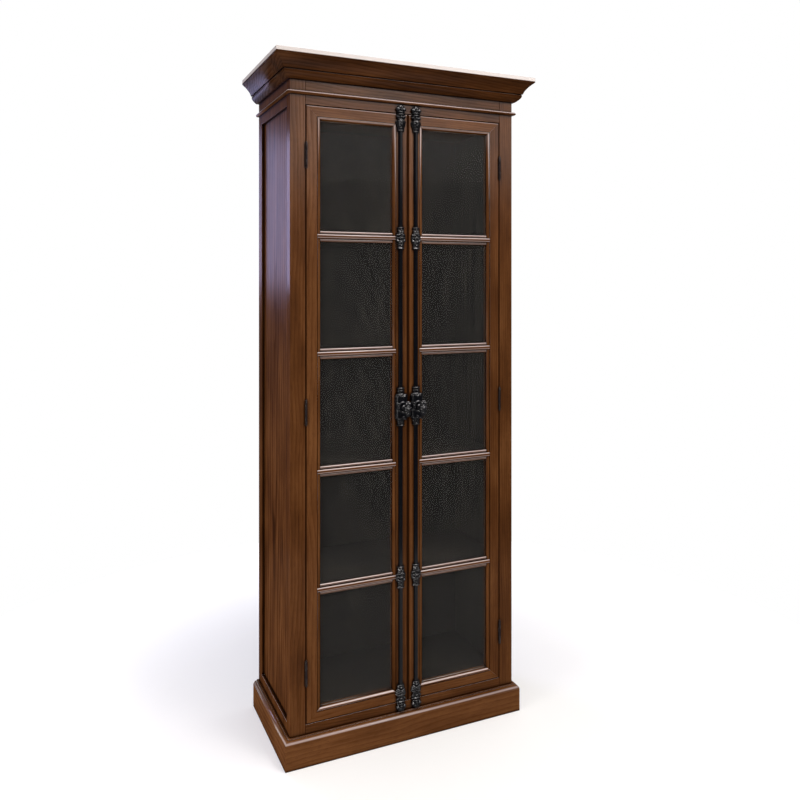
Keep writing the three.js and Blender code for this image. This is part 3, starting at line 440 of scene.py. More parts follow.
def place_axes(tree):
    """Object coordinates in metres, as three numbers."""
    return split_of(tree, node_of(tree, "ShaderNodeTexCoord").outputs["Object"])


def normal_axes(tree):
    """The object's own normal, as three numbers."""
    return split_of(tree, node_of(tree, "ShaderNodeTexCoord").outputs["Normal"])


def openness(tree, distance):
    """1 in the open and less in a recess, looked at over a distance in metres."""
    made = node_of(tree, "ShaderNodeAmbientOcclusion", samples=OPEN_SAMPLES)
    put(made.inputs["Distance"], distance)
    return made.outputs["AO"]


def add_bump(tree, shader, height, strength, depth):
    bump = node_of(tree, "ShaderNodeBump")
    put(bump.inputs["Strength"], strength)
    put(bump.inputs["Distance"], depth)
    put(bump.inputs["Height"], height)
    put(shader.inputs["Normal"], bump.outputs[0])


def inside_mask(tree):
    """1 on the faces that look into the cabinet behind the doors."""
    x, y, z = place_axes(tree)
    between = calc(tree, "LESS_THAN", calc(tree, "ABSOLUTE", x), INSIDE_HALF)
    behind = calc(tree, "GREATER_THAN", y, DOOR_BACK + 0.5 * MM)
    above = calc(tree, "GREATER_THAN", z, FLOOR_TOP - 8 * MM)
    return product(tree, between, behind, above)


def gloss(tree, share):
    """Coat weight: thin by the floor and on the sides, and full on rounds that face upward."""
    across, ahead, up = normal_axes(tree)
    z = place_axes(tree)[2]
    sideways = smooth_step(tree, calc(tree, "ABSOLUTE", across), SIDEWAYS)
    front = scale_add(tree, smooth_step(tree, z, FRONT_HEIGHTS), FRONT_COAT_RISE * share, FRONT_COAT)
    flank = scale_add(tree, smooth_step(tree, z, FLANK_HEIGHTS), FLANK_COAT_RISE, FLANK_COAT)
    level = between_numbers(tree, sideways, front, flank)
    rise = product(tree, smooth_step(tree, up, ROUND_UP), smooth_step(tree, up, LEVEL_TOP))
    return between_numbers(tree, rise, level, ROUND_COAT)


def painted_highlight_mask(tree, name):
    """1 on the small rounds that face upward, where a pale colour is painted as a highlight."""
    across, ahead, up = normal_axes(tree)
    z = place_axes(tree)[2]
    mask = product(tree, smooth_step(tree, up, HIGHLIGHT_FROM), smooth_step(tree, up, HIGHLIGHT_TO))
    if name.startswith("plinth"):
        least, more = PLINTH_HIGHLIGHT_SHARES
        share = scale_add(tree, smooth_step(tree, ahead, PLINTH_AHEAD), more, least)
        mask = product(tree, smooth_step(tree, up, PLINTH_HIGHLIGHT_FROM), smooth_step(tree, up, PLINTH_HIGHLIGHT_TO))
        mask = product(tree, mask, share)
    if name.startswith(("door_top_rail", "glazing_bar")):
        under = product(tree, smooth_step(tree, up, UNDER_FROM), smooth_step(tree, up, UNDER_TO))
        mask = calc(tree, "MAXIMUM", mask, product(tree, under, UNDER_HIGHLIGHT_SHARE))
    if name.startswith("door_top_rail"):
        top = smooth_step(tree, z, TOP_HIGHLIGHT_PLACES)
        mask = calc(tree, "MAXIMUM", mask, product(tree, top, TOP_HIGHLIGHT_SHARE))
    # the cornice's cap edge gets a near-white painted highlight
    if name.startswith("cornice"):
        edge = product(tree, smooth_step(tree, z, CAP_HIGHLIGHT_PLACES), smooth_step(tree, up, CAP_HIGHLIGHT_LEVEL))
        mask = calc(tree, "MAXIMUM", product(tree, mask, CORNICE_HIGHLIGHT_SHARE), edge)
    return mask


def shade_line_mask(tree, joints):
    """1 in each painted shade line, along the gaps round the doors and under the cornice's cap: an axis,
    the edge's place and the line's half width.
    """
    places = place_axes(tree)
    total = 0.0
    for axis, edge, reach in joints:
        away = calc(tree, "ABSOLUTE", calc(tree, "SUBTRACT", places["xyz".index(axis)], edge))
        total = calc(tree, "MAXIMUM", total, calc(tree, "LESS_THAN", away, reach))
    return total


def knuckle_mask(tree):
    """1 on the hinge knuckles, which stand in front of the door's face."""
    x, y, z = place_axes(tree)
    proud = calc(tree, "LESS_THAN", y, DOOR_FACE - 0.25 * MM)
    outer = calc(tree, "GREATER_THAN", calc(tree, "ABSOLUTE", x), BARREL_INNER - MM)
    return product(tree, proud, outer)


def ring_count(tree, place, pith, lean, spacing):
    """How many growth rings lie between the pith and each point of the log."""
    along = split_of(tree, place)
    wander = node_of(tree, "ShaderNodeTexNoise")
    put(wander.inputs["Vector"], scaled(tree, place, WANDER_SCALES))
    put(wander.inputs["Scale"], 1.0)
    put(wander.inputs["Detail"], 3.0)
    shift = node_of(tree, "ShaderNodeSeparateColor")
    put(shift.inputs[0], wander.outputs["Color"])
    squares = []
    for index in range(2):
        moved = calc(tree, "SUBTRACT", along[index], pith[index])
        leaned = scale_add(tree, along[2], lean[index], moved)
        sway = calc(tree, "SUBTRACT", shift.outputs[index], 0.5)
        swayed = scale_add(tree, sway, WANDER_REACH, leaned)
        squares.append(product(tree, swayed, swayed))
    radius = calc(tree, "SQRT", calc(tree, "ADD", squares[0], squares[1]))
    wobble = noise(tree, scaled(tree, place, WOBBLE_SCALES), 1.0, 2.0)
    return scale_add(tree, wobble, WOBBLE_RINGS, calc(tree, "DIVIDE", radius, spacing))


def stained(tree, value, pores, stain):
    """The wood's colour from dark to light, with the pores as its darkest."""
    colour = ramp(tree, value, list(zip(STAIN_SHARES, stain)))
    return mix(tree, product(tree, pores, PORE_SHARE), colour, stain[0])


def wood(name, axis, offset, pith, lean, tone=0.0, finish="oak", spacing=RING_SPACING, joints=()):
    """Oak cut from a log. finish is oak, lined (charcoal inside), hinged (iron knuckles) or charcoal."""
    material, tree, shader = new_material(name)
    charcoal = finish == "charcoal"
    cornice = name.startswith("cornice")
    on_side = name.startswith("side")
    figure = PANEL_RING_FIGURE if name.startswith("side_panel") else RING_FIGURE

    place = grain_place(tree, axis, offset)
    phase = calc(tree, "FRACT", ring_count(tree, place, pith, lean, spacing))
    ring = grey_ramp(tree, phase, RING_STOPS)
    streak = noise(tree, scaled(tree, place, STREAK_SCALES), 1.0, 4.0, 0.6)
    blotch = noise(tree, scaled(tree, place, BLOTCH_SCALES), 1.0, 3.0)
    value = scale_add(tree, ring, figure, 0.5 + tone - 0.6 * figure)
    value = scale_add(tree, calc(tree, "SUBTRACT", streak, 0.5), STREAK_FIGURE, value)
    value = scale_add(tree, calc(tree, "SUBTRACT", blotch, 0.5), BLOTCH_FIGURE, value)
    pore_noise = noise(tree, scaled(tree, place, PORE_SCALES), 1.0, 1.0)
    early = grey_ramp(tree, phase, EARLY_STOPS)
    pores = grey_ramp(tree, scale_add(tree, early, EARLY_PORES, pore_noise), PORE_STOPS)

    colour = stained(tree, value, pores, CHARCOAL if charcoal else OAK)
    coat = 0.0
    if not charcoal:
        # painted shade: the colour darkens in recesses found by occlusion, where shade falls
        low, high = SIDE_SHADE_SHARES if on_side else SHADE_SHARES
        painted_shade = grey_ramp(tree, openness(tree, SHADE_DISTANCE), ((low, 1.0), (high, 0.0)))
        if name.startswith("glazing_bar"):
            # the painted shade is kept off the bar's back face, which lies against the glass
            painted_shade = product(tree, smooth_step(tree, normal_axes(tree)[1], BAR_BACK), painted_shade)
        colour = mix(tree, painted_shade, colour, mix(tree, 1.0, colour, RECESS_SHADE, "MULTIPLY"))
        coat = gloss(tree, CORNICE_COAT_SHARE if cornice else 1.0)
        coat = product(tree, coat, scale_add(tree, ring, 1.0, RING_COAT_LEAST))
    if finish == "lined":
        inside = inside_mask(tree)
        colour = mix(tree, inside, colour, stained(tree, value, pores, CHARCOAL))
        coat = product(tree, calc(tree, "SUBTRACT", 1.0, inside), coat)
    if not charcoal:
        # painted highlight: a pale colour on the upward rounds, some edges and the cornice's cap
        painted_highlight = product(tree, painted_highlight_mask(tree, name), PAINTED_HIGHLIGHT_SHARE)
        colour = mix(tree, painted_highlight, colour, PAINTED_CAP_HIGHLIGHT if cornice else PAINTED_HIGHLIGHT)
    if joints:
        # painted shade along the gaps round the doors and under the cornice's cap, with no coat
        line = shade_line_mask(tree, joints)
        colour = mix(tree, line, colour, OAK[0])
        coat = product(tree, calc(tree, "SUBTRACT", 1.0, line), coat)
    if finish == "hinged":
        colour = mix(tree, knuckle_mask(tree), colour, HINGE_IRON)

    base_roughness = CHARCOAL_ROUGHNESS if charcoal else OAK_ROUGHNESS
    put(shader.inputs["Base Color"], colour)
    put(shader.inputs["Roughness"], scale_add(tree, pores, PORE_ROUGHNESS, base_roughness))
    put(shader.inputs["Specular IOR Level"], 0.0)
    put(shader.inputs["Coat Weight"], coat)
    put(shader.inputs["Coat Roughness"], DULL_COAT_ROUGHNESS if on_side or cornice else COAT_ROUGHNESS)
    height = scale_add(tree, ring, RING_DEPTH_SHARE, product(tree, pores, -1.0))
    add_bump(tree, shader, height, GRAIN_STRENGTH, GRAIN_DEPTH)
    return material


def iron_material(name, relief, coat, colours, waxed=False):
    """Iron: its grain's strength, its coat, its dark and light colour; wax stays on open upper faces."""
    material, tree, shader = new_material(name)
    place = node_of(tree, "ShaderNodeTexCoord").outputs["Object"]
    fine = noise(tree, place, IRON_FINE_SCALE, 3.0, 0.6)
    broad = noise(tree, place, IRON_BROAD_SCALE, 3.0, 0.55)
    put(shader.inputs["Base Color"], ramp(tree, broad, list(zip(IRON_TONE_SHARES, colours))))
    put(shader.inputs["Metallic"], 0.0)
    put(shader.inputs["Roughness"], scale_add(tree, broad, IRON_ROUGHNESS_RISE, IRON_ROUGHNESS))
    put(shader.inputs["Specular IOR Level"], IRON_SPECULAR)
    if waxed:
        open_share = smooth_step(tree, openness(tree, WAX_DISTANCE), WAX_SHARES)
        above = smooth_step(tree, normal_axes(tree)[2], WAX_UP)
        coat = product(tree, open_share, coat, scale_add(tree, above, WAX_RISE, WAX_LEAST))
        put(shader.inputs["Coat IOR"], WAX_IOR)
    put(shader.inputs["Coat Weight"], coat)
    put(shader.inputs["Coat Roughness"], IRON_COAT_ROUGHNESS)
    add_bump(tree, shader, scale_add(tree, broad, IRON_BROAD_GRAIN, fine), relief, IRON_GRAIN_DEPTH)
    return material


def glass_material():
    """Clear glass with a trace of haze, which spreads a little light over the panes."""
    material, tree, shader = new_material("clear_glass")
    place = node_of(tree, "ShaderNodeTexCoord").outputs["Object"]
    put(shader.inputs["Base Color"], GLASS_TINT)
    put(shader.inputs["Roughness"], 0.0)
    put(shader.inputs["IOR"], GLASS_IOR)
    put(shader.inputs["Transmission Weight"], GLASS_CLEARNESS)
    add_bump(tree, shader, noise(tree, place, RIPPLE_SCALE, 2.0), RIPPLE_STRENGTH, RIPPLE_DEPTH)
    clear = node_of(tree, "ShaderNodeBsdfTransparent")
    put(clear.inputs["Color"], GLASS_SHADOW)
    path = node_of(tree, "ShaderNodeLightPath")
    lets = node_of(tree, "ShaderNodeMixShader")
    put(lets.inputs[0], path.outputs["Is Shadow Ray"])
    put(lets.inputs[1], shader.outputs[0])
    put(lets.inputs[2], clear.outputs[0])
    output = next(n for n in tree.nodes if n.type == "OUTPUT_MATERIAL")
    put(output.inputs["Surface"], lets.outputs[0])
    return material


def dress(name, material):
    node = NODES[name]
    node.data.materials.clear()
    node.data.materials.append(material)


# Soft edges on the CAD nodes
WELD_REACH = 0.02 * MM
FLAT_ANGLE = math.radians(0.5)
ARRIS_ANGLE = math.radians(32)
STILE_ARRIS = 0.6 * MM
RAIL_ARRIS = 0.5 * MM
BAR_ARRIS = 0.35 * MM
SHELF_ARRIS = 1.0 * MM
IRON_ARRIS = 0.3 * MM
WOOD_LEAST = 12 * MM
IRON_LEAST = 4 * MM


def on_mitre(edge):
    """True for a line at 45 degrees in the door's plane, where two rails are glued flush."""
    first, second = (vert.co for vert in edge.verts)
    line = second - first
    return abs(abs(line.x) - abs(line.z)) < 0.1 * line.length and abs(line.y) < 0.5 * line.length


def long_sharp_edges(mesh, least):
    """Ends of the edges that get a rounded arris, found on a welded copy."""
    work = bmesh.new()
    work.from_mesh(mesh)
    bmesh.ops.remove_doubles(work, verts=work.verts, dist=WELD_REACH)
    bmesh.ops.dissolve_limit(
        work, angle_limit=FLAT_ANGLE, verts=work.verts, edges=work.edges, use_dissolve_boundaries=False,
    )
    found = []
    for edge in work.edges:
        if len(edge.link_faces) != 2 or edge.calc_length() < least or on_mitre(edge):
            continue
        if edge.calc_face_angle(0.0) > ARRIS_ANGLE:
            found.append([vert.co.copy() for vert in edge.verts])
    work.free()
    return found


def on_segment(point, start, end):
    line = end - start
    share = (point - start).dot(line) / line.length_squared
    if not -0.001 < share < 1.001:
        return False
    return (start + line * share - point).length < WELD_REACH


def soften(name, width, least=WOOD_LEAST):
    """Adds a small rounded arris along a CAD node's long edges, in modifiers only."""
    node = NODES[name]
    mesh = node.data
    if "custom_normal" in mesh.attributes:
        mesh.attributes.remove(mesh.attributes["custom_normal"])
    for polygon in mesh.polygons:
        polygon.use_smooth = True
    lines = long_sharp_edges(mesh, least)
    weights = mesh.attributes.get("bevel_weight_edge")
    if weights is None:
        weights = mesh.attributes.new("bevel_weight_edge", "FLOAT", "EDGE")
    for edge in mesh.edges:
        first, second = (mesh.vertices[index].co for index in edge.vertices)
        wanted = any(on_segment(first, *line) and on_segment(second, *line) for line in lines)
        weights.data[edge.index].value = 1.0 if wanted else 0.0
    weld = node.modifiers.new("weld", "WELD")
    weld.merge_threshold = WELD_REACH
    planar = node.modifiers.new("planar", "DECIMATE")
    planar.decimate_type = "DISSOLVE"
    planar.angle_limit = FLAT_ANGLE
    bevel = node.modifiers.new("arris", "BEVEL")
    bevel.limit_method = "WEIGHT"
    bevel.width = width
    bevel.segments = 2
    bevel.use_clamp_overlap = True
    weighted = node.modifiers.new("shading", "WEIGHTED_NORMAL")
    weighted.keep_sharp = False
    weighted.weight = 60


# Wood
# Half widths of the painted shade lines along the gaps round the doors and under the cornice's cap
GAP_SHADE_HALF = 1.0 * MM
STILE_GAP_SHADE_HALF = 1.2 * MM
MEETING_GAP_SHADE_HALF = 4.2 * MM
CAP_SHADE_HALF = 1.3 * MM


def dress_fixed_wood():
    """Plinth, mouldings and cross rails, each from its own place in the log."""
    plans = {
        # name: grain, offset, pith, lean, tone, arris in millimetres, finish
        "plinth": ("mould", (0.11, 0.3, 0.05), (0.25, -0.2), (0.02, 0.01), 0.22, 0.9, "oak"),
        "astragal": ("mould", (0.4, 0.1, 0.3), (0.15, -0.3), (0.01, 0.01), 0.0, 0.3, "oak"),
        "cornice": ("mould", (0.7, 0.25, 0.2), (-0.2, -0.25), (0.02, 0.02), -0.18, 0.5, "oak"),
        "bottom_rail_floor": ("x", (0.3, 0.2, 0.6), (0.4, -0.12), (0.03, 0.02), 0.0, 0.5, "lined"),
        "frieze_rail_top": ("x", (0.9, 0.4, 0.4), (2.1, -0.2), (0.02, 0.02), -0.04, 0.5, "lined"),
    }
    lines = {
        "frieze_rail_top": [("z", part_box("frieze_rail_top")[0].z, GAP_SHADE_HALF)],
        "cornice": [("z", CAP_SHADE_PLACE, CAP_SHADE_HALF)],
    }
    for name, (axis, offset, pith, lean, tone, width, finish) in plans.items():
        joints = lines.get(name, [])
        dress(name, wood(name + "_oak", axis, offset, pith, lean, tone, finish, joints=joints))
        soften(name, width * MM)


def dress_uprights(side, sign, shift):
    pith_across = 0.2 + shift + sign * 0.34
    plans = {
        # name: offset, pith, lean, tone, finish
        "front_post": ((0.13 + shift, 0.42, 0.2), (-0.6 + shift, 0.75), (0.012, 0.015), 0.01, "lined"),
        "side_frame": ((0.31 + shift, 0.11, 0.5), (-0.05 + shift, 0.42), (0.01, -0.012), -0.02, "lined"),
        "side_panel": ((0.2 + shift, 0.05, 0.15), (pith_across, 0.115), (0.022, 0.012), 0.03, "lined"),
        "hinge_stile": (
            (0.52 + shift, 0.2, 0.9), (0.05 + shift, 0.35), (0.016, 0.012), 0.12 - 0.07 * sign, "hinged",
        ),
        "meeting_stile": (
            (0.77 + shift, 0.33, 0.35), (0.55 + shift, 0.02), (-0.012, 0.014), 0.15 + 0.11 * sign, "oak",
        ),
    }
    for name, (offset, pith, lean, tone, finish) in plans.items():
        full = f"{name}_{side}"
        low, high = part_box(full)
        inner = (high.x, low.x)[sign > 0]
        lines = {
            "hinge_stile": [("x", sign * DOOR_HALF, STILE_GAP_SHADE_HALF)],
            "meeting_stile": [("x", inner, MEETING_GAP_SHADE_HALF)],
            "front_post": [("x", inner, STILE_GAP_SHADE_HALF)],
        }
        spacing = PANEL_RING_SPACING if name == "side_panel" else RING_SPACING
        joints = lines.get(name, [])
        dress(full, wood(full + "_oak", "z", offset, pith, lean, tone, finish, spacing, joints))
        soften(full, STILE_ARRIS)


def dress_door_rails(side, shift):
    rails = {
        # name: offset, pith, lean, tone
        "door_top_rail": ((0.2, 0.35, 0.1 + shift), (2.4, 0.1), (0.03, 0.012), 0.13),
        "door_bottom_rail": ((0.6, 0.15, 0.45 + shift), (0.3, 0.4), (0.02, 0.012), 0.16),
    }
    for name, (offset, pith, lean, tone) in rails.items():
        full = f"{name}_{side}"
        low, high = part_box(full)
        joints = [("z", high.z if name == "door_top_rail" else low.z, GAP_SHADE_HALF)]
        dress(full, wood(full + "_oak", "x", offset, pith, lean, tone, joints=joints))
        soften(full, RAIL_ARRIS)
    for level in range(1, 5):
        full = f"glazing_bar_{level}_{side}"
        offset = (0.17 * level + shift, 0.2, 0.31 * level)
        dress(full, wood(full + "_oak", "x", offset, (0.5, 0.3), (0.01, 0.01), 0.02))
        soften(full, BAR_ARRIS)


def dress_wood():
    dress_fixed_wood()
    for side, sign in SIDES:
        shift = 0.37 * (sign + 1)
        dress_uprights(side, sign, shift)
        dress_door_rails(side, shift)


def dress_interior():
    back = wood(
        "back_charcoal", "z", (0.06, 0.0, 0.1), (0.02, -0.36), (0.06, 0.1),
        finish="charcoal", spacing=BACK_RING_SPACING,
    )
    dress("back_panel", back)
    for level in range(1, 5):
        name = f"shelf_{level}"
        offset = (0.3 * level, 0.1, 0.27 * level)
        made = wood(
            name + "_charcoal", "x", offset, (0.2, 0.5), (0.01, 0.02),
            finish="charcoal", spacing=SHELF_RING_SPACING,
        )
        dress(name, made)
        soften(name, SHELF_ARRIS)


def dress_metal_and_glass():
    make_castings(iron_material("cast_iron_black", 0.05, 1.0, BLACK_IRON, waxed=True))
    drawn = iron_material("drawn_iron_black", 0.2, 0.16, BLACK_IRON)
    hinge = iron_material("hinge_iron_brown", 0.3, 0.2, BRONZED_IRON)
    glass = glass_material()
    for side, sign in SIDES:
        for name in ("upper_bolt", "lower_bolt", "frame_hinge_1", "frame_hinge_2", "frame_hinge_3"):
            dress(f"{name}_{side}", hinge if "hinge" in name else drawn)
            soften(f"{name}_{side}", IRON_ARRIS, IRON_LEAST)
        dress(f"glass_sheet_{side}", glass)


# Cast ironwork, in millimetres about the rod's line; shares apart
ROD_X = 27.5
CASTING_SPREAD_SHARE = 1.2
FINE = 0.75
SMOOTHING = 6
BALL_STEP_SHARE = 0.5
ROD_FIT = 0.3
BACK_FIT = 0.3
SOCKET_DEPTH = 12.2
SPINDLE_RADIUS = 5.0
SPINDLE_HOLE_RADIUS = 5.1
CAVITY_HALF_WIDTH = 15.0
CAVITY_HALF_LENGTH = 31.0
CAVITY_DEPTH = 9.6
BALL = None


def unit_ball():
    global BALL
    if BALL is None:
        work = bmesh.new()
        bmesh.ops.create_icosphere(work, subdivisions=2, radius=1.0)
        points = [vert.co.copy() for vert in work.verts]
        faces = [[vert.index for vert in face.verts] for face in work.faces]
        work.free()
        BALL = (points, faces)
    return BALL


def blob(x, out, z, rx, ro, rz, turn=0.0):
    """One swelling: centre, radii across, outward and upward, and its turn about the outward axis."""
    points, faces = unit_ball()
    spin = Matrix.Rotation(math.radians(turn), 3, "Y")
    centre = Vector((x, -out, z))
    return [centre + spin @ Vector((p.x * rx, p.y * ro, p.z * rz)) for p in points], faces


def tube(points):
    """A rod of touching balls through (x, out, z, radius) points."""
    made = []
    for first, second in zip(points, points[1:]):
        start, end = Vector(first[:3]), Vector(second[:3])
        length = (end - start).length
        count = max(1, int(length / (BALL_STEP_SHARE * min(first[3], second[3]))))
        for index in range(count + 1):
            share = index / count
            place = start.lerp(end, share)
            radius = first[3] + (second[3] - first[3]) * share
            made.append(blob(place.x, place.y, place.z, radius, radius, radius))
    return made


def ring(z, rx, out, ro, radius):
    """A half ring round the rod, from the door's face over the front and back to the face."""
    points = []
    for index in range(15):
        angle = math.pi * index / 14
        points.append((math.cos(angle) * rx, out + math.sin(angle) * ro, z, radius))
    return tube(points)


def curl(x, out, z, radius, thick, start, turns, rise=1.5):
    """A leaf that rolls inward to an eye; start is the angle of its outer end in degrees."""
    points = []
    count = int(abs(turns) * 16) + 1
    for index in range(count):
        share = index / (count - 1)
        angle = math.radians(start) + share * turns * 2 * math.pi
        reach = radius * (1.0 - 0.72 * share)
        points.append((
            x + math.cos(angle) * reach, out + rise * share, z + math.sin(angle) * reach,
            thick * (0.75 + 0.4 * share),
        ))
    return tube(points)


def mirrored_pair(parts):
    """The same forms on both sides of the rod."""
    made = list(parts)
    for points, faces in parts:
        flipped = [Vector((-p.x, p.y, p.z)) for p in points]
        made.append((flipped, [list(reversed(face)) for face in faces]))
    return made


def gathered(parts):
    """One vertex and face list, in metres."""
    points, faces = [], []
    for own, shape in parts:
        base = len(points)
        points.extend(p * MM for p in own)
        faces.extend([base + index for index in face] for face in shape)
    return points, faces


def outward(points, faces):
    """The same closed shape with its faces pointing out."""
    work = bmesh.new()
    verts = [work.verts.new(p) for p in points]
    for face in faces:
        work.faces.new([verts[index] for index in face])
    bmesh.ops.recalc_face_normals(work, faces=work.faces)
    work.verts.index_update()
    result = [[vert.index for vert in face.verts] for face in work.faces]
    work.free()
    return points, result


def block_mesh(x0, x1, out0, out1, z0, z1):
    corners = [Vector((x, -out, z)) for x in (x0, x1) for out in (out0, out1) for z in (z0, z1)]
    faces = [[0, 1, 3, 2], [4, 6, 7, 5], [0, 4, 5, 1], [2, 3, 7, 6], [0, 2, 6, 4], [1, 5, 7, 3]]
    return outward(corners, faces)


def prism_mesh(section, z0, z1):
    """section is a list of (x, out)."""
    count = len(section)
    points = [Vector((x, -out, z)) for z in (z0, z1) for x, out in section]
    faces = [list(range(count)), list(range(count, 2 * count))]
    for index in range(count):
        after = (index + 1) % count
        faces.append([index, after, count + after, count + index])
    return outward(points, faces)


def rod_section(grow):
    half = 6.25 + grow
    points = [(half, -2.0), (-half, -2.0)]
    for index in range(13):
        angle = math.pi * (1 - index / 12)
        points.append((math.cos(angle) * half, 4.3 + math.sin(angle) * (4.0 + grow)))
    return points


def mesh_of(name, parts):
    mesh = bpy.data.meshes.new(name)
    points, faces = gathered(parts)
    mesh.from_pydata(points, [], faces)
    mesh.update()
    return mesh


def applied(name, mesh, modifiers):
    """The mesh with modifiers, each a type and its settings, made real."""
    thing = bpy.data.objects.new(name, mesh)
    bpy.context.scene.collection.objects.link(thing)
    for kind, settings in modifiers:
        modifier = thing.modifiers.new(kind.lower(), kind)
        for key, value in settings.items():
            setattr(modifier, key, value)
    bpy.context.view_layer.update()
    graph = bpy.context.evaluated_depsgraph_get()
    result = bpy.data.meshes.new_from_object(thing.evaluated_get(graph))
    bpy.data.objects.remove(thing)
    return result


def stretch_to(mesh, span, origin):
    """Scales a casting to its node's half width, depth and height; origin says where its z = 0 is."""
    half, depth, low, high = (value * MM for value in span)
    half *= CASTING_SPREAD_SHARE
    height = high - low
    start = {"top": -height, "middle": -height / 2, "bottom": 0.0}[origin]
    places = [vert.co for vert in mesh.vertices]
    across = half / max(abs(p.x) for p in places)
    outward_scale = depth / max(-p.y for p in places)
    bottom, top = min(p.z for p in places), max(p.z for p in places)
    for place in places:
        place.x *= across
        place.y *= outward_scale
        place.z = start + (place.z - bottom) / (top - bottom) * height


def cast(name, parts, span, origin, cuts):
    """Melts the forms into one skin, as a casting, then cuts its flat back and its channels."""
    mesh = applied(name, mesh_of(name, parts), [
        ("REMESH", {"mode": "VOXEL", "voxel_size": FINE * MM}),
        ("SMOOTH", {"factor": 0.5, "iterations": SMOOTHING}),
    ])
    if span:
        stretch_to(mesh, span, origin)
    cuts = [block_mesh(-60, 60, -40, BACK_FIT, -90, 90)] + cuts
    cutters = []
    for index, cut in enumerate(cuts):
        cutter = bpy.data.objects.new(f"{name}_cut_{index}", mesh_of(f"{name}_cut_{index}", [cut]))
        bpy.context.scene.collection.objects.link(cutter)
        cutters.append(cutter)
    how = {"operation": "DIFFERENCE", "solver": "MANIFOLD"}
    mesh = applied(name, mesh, [("BOOLEAN", {**how, "object": cutter}) for cutter in cutters])
    mesh.name = name
    for cutter in cutters:
        bpy.data.objects.remove(cutter)
    return mesh


def place_casting(name, node, body, mesh, z, turns, material):
    """Sets a casting, modelled about the rod's line, on one door or on the carcass."""
    hand, upright = turns
    own = mesh.copy()
    place = Matrix.Translation((-hand * ROD_X * MM, DOOR_FACE, z * MM))
    own.transform(place @ Matrix.Diagonal((hand, 1.0, upright, 1.0)))
    if hand * upright < 0:
        own.flip_normals()
    for polygon in own.polygons:
        polygon.use_smooth = True
    own.materials.clear()
    own.materials.append(material)
    piece = bpy.data.objects.new(name, own)
    bpy.context.scene.collection.objects.link(piece)
    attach(piece, body)
    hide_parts(node)


def lobes(z0, z1, count, spread, out, drop):
    """Leaf lobes in pairs along the rod, each from the midrib out and over to the side."""
    made = []
    for index in range(count):
        share = index / (count - 1)
        z = z0 + (z1 - z0) * share
        reach = spread * (1.0 - 0.25 * share)
        made += tube([
            (1.5, out, z, 1.7), (reach * 0.55, out - 1.2, z + drop * 0.4, 2.3),
            (reach * 0.85, out - 4.4, z + drop * 0.8, 1.9), (reach, out - 7.6, z + drop, 1.2),
        ])
    return mirrored_pair(made)


def gadroons(z, rx, out, rz, count, thick):
    """Upright ribs round a swelling that stands on the door."""
    made = []
    for index in range(count):
        angle = math.pi * (index + 0.5) / count
        made.append(blob(math.cos(angle) * rx, out + math.sin(angle) * rx * 0.72, z, thick, thick, rz))
    return made


def end_guide_forms():
    """Top guide, z from -57 at its foot to 0 at its head under the keeper."""
    parts = ring(-2.4, 11.4, 2.0, 9.0, 2.4)
    parts += ring(-6.2, 9.6, 2.0, 7.9, 1.2)
    parts += [blob(0, 3, -12.0, 11.6, 6.6, 6.8), blob(0, 10.4, -11.6, 3.6, 3.6, 4.6)]
    parts += mirrored_pair(curl(9.4, 6.6, -11.6, 4.4, 1.9, 20, 1.1, 2.6))
    parts += ring(-18.4, 9.6, 2.0, 8.0, 1.7)
    parts += [blob(0, 2.5, -30.0, 9.8, 5.4, 15.0)]
    parts += lobes(-22.0, -38.0, 4, 14.6, 10.8, -4.6)
    parts += tube([(-4.6, 10.2, -21.4, 1.5), (0.4, 13.2, -27.0, 2.0), (5.4, 10.6, -32.6, 1.6)])
    parts += tube([(-5.0, 10.2, -29.0, 1.4), (0.2, 13.0, -34.6, 1.9), (4.8, 10.4, -40.0, 1.5)])
    parts += mirrored_pair(tube([(13.4, 2.2, -26.0, 1.9), (11.2, 3.6, -36.0, 2.3), (7.8, 4.6, -44.0, 2.0)]))
    parts += [blob(0, 3.4, -47.0, 8.4, 6.6, 7.4), blob(0, 10.8, -46.4, 2.6, 2.6, 3.6)]
    parts += gadroons(-47.6, 8.2, 3.0, 5.4, 7, 1.9)
    parts += ring(-54.8, 8.8, 2.0, 7.6, 2.0)
    return parts


def keeper_forms(length):
    """Keeper, z from 0 beside the door's edge to its crown at length."""
    stretch = length / 25.5
    parts = ring(2.0, 11.0, 2.0, 8.4, 2.0)
    parts += ring(5.4, 9.2, 2.0, 7.4, 1.2)
    parts += [blob(0, 3, 12.0 * stretch, 10.4, 6.8, 7.4)]
    parts += mirrored_pair(curl(9.2, 6.6, 11.6 * stretch, 5.2, 2.1, -100, 1.2, 2.8))
    parts += [blob(0, 10.6, 9.4 * stretch, 2.4, 2.6, 3.6), blob(0, 10.2, 14.4 * stretch, 2.2, 2.4, 2.6)]
    parts += mirrored_pair(tube([
        (2.4, 9.6, 17.6 * stretch, 1.5), (7.0, 7.8, 18.4 * stretch, 1.6), (11.4, 4.0, 16.6 * stretch, 1.8),
    ]))
    parts += [blob(0, 3.6, 20.4 * stretch, 8.2, 6.8, 4.9)]
    parts += gadroons(20.8 * stretch, 6.4, 3.4, 4.0, 5, 2.1)
    return parts


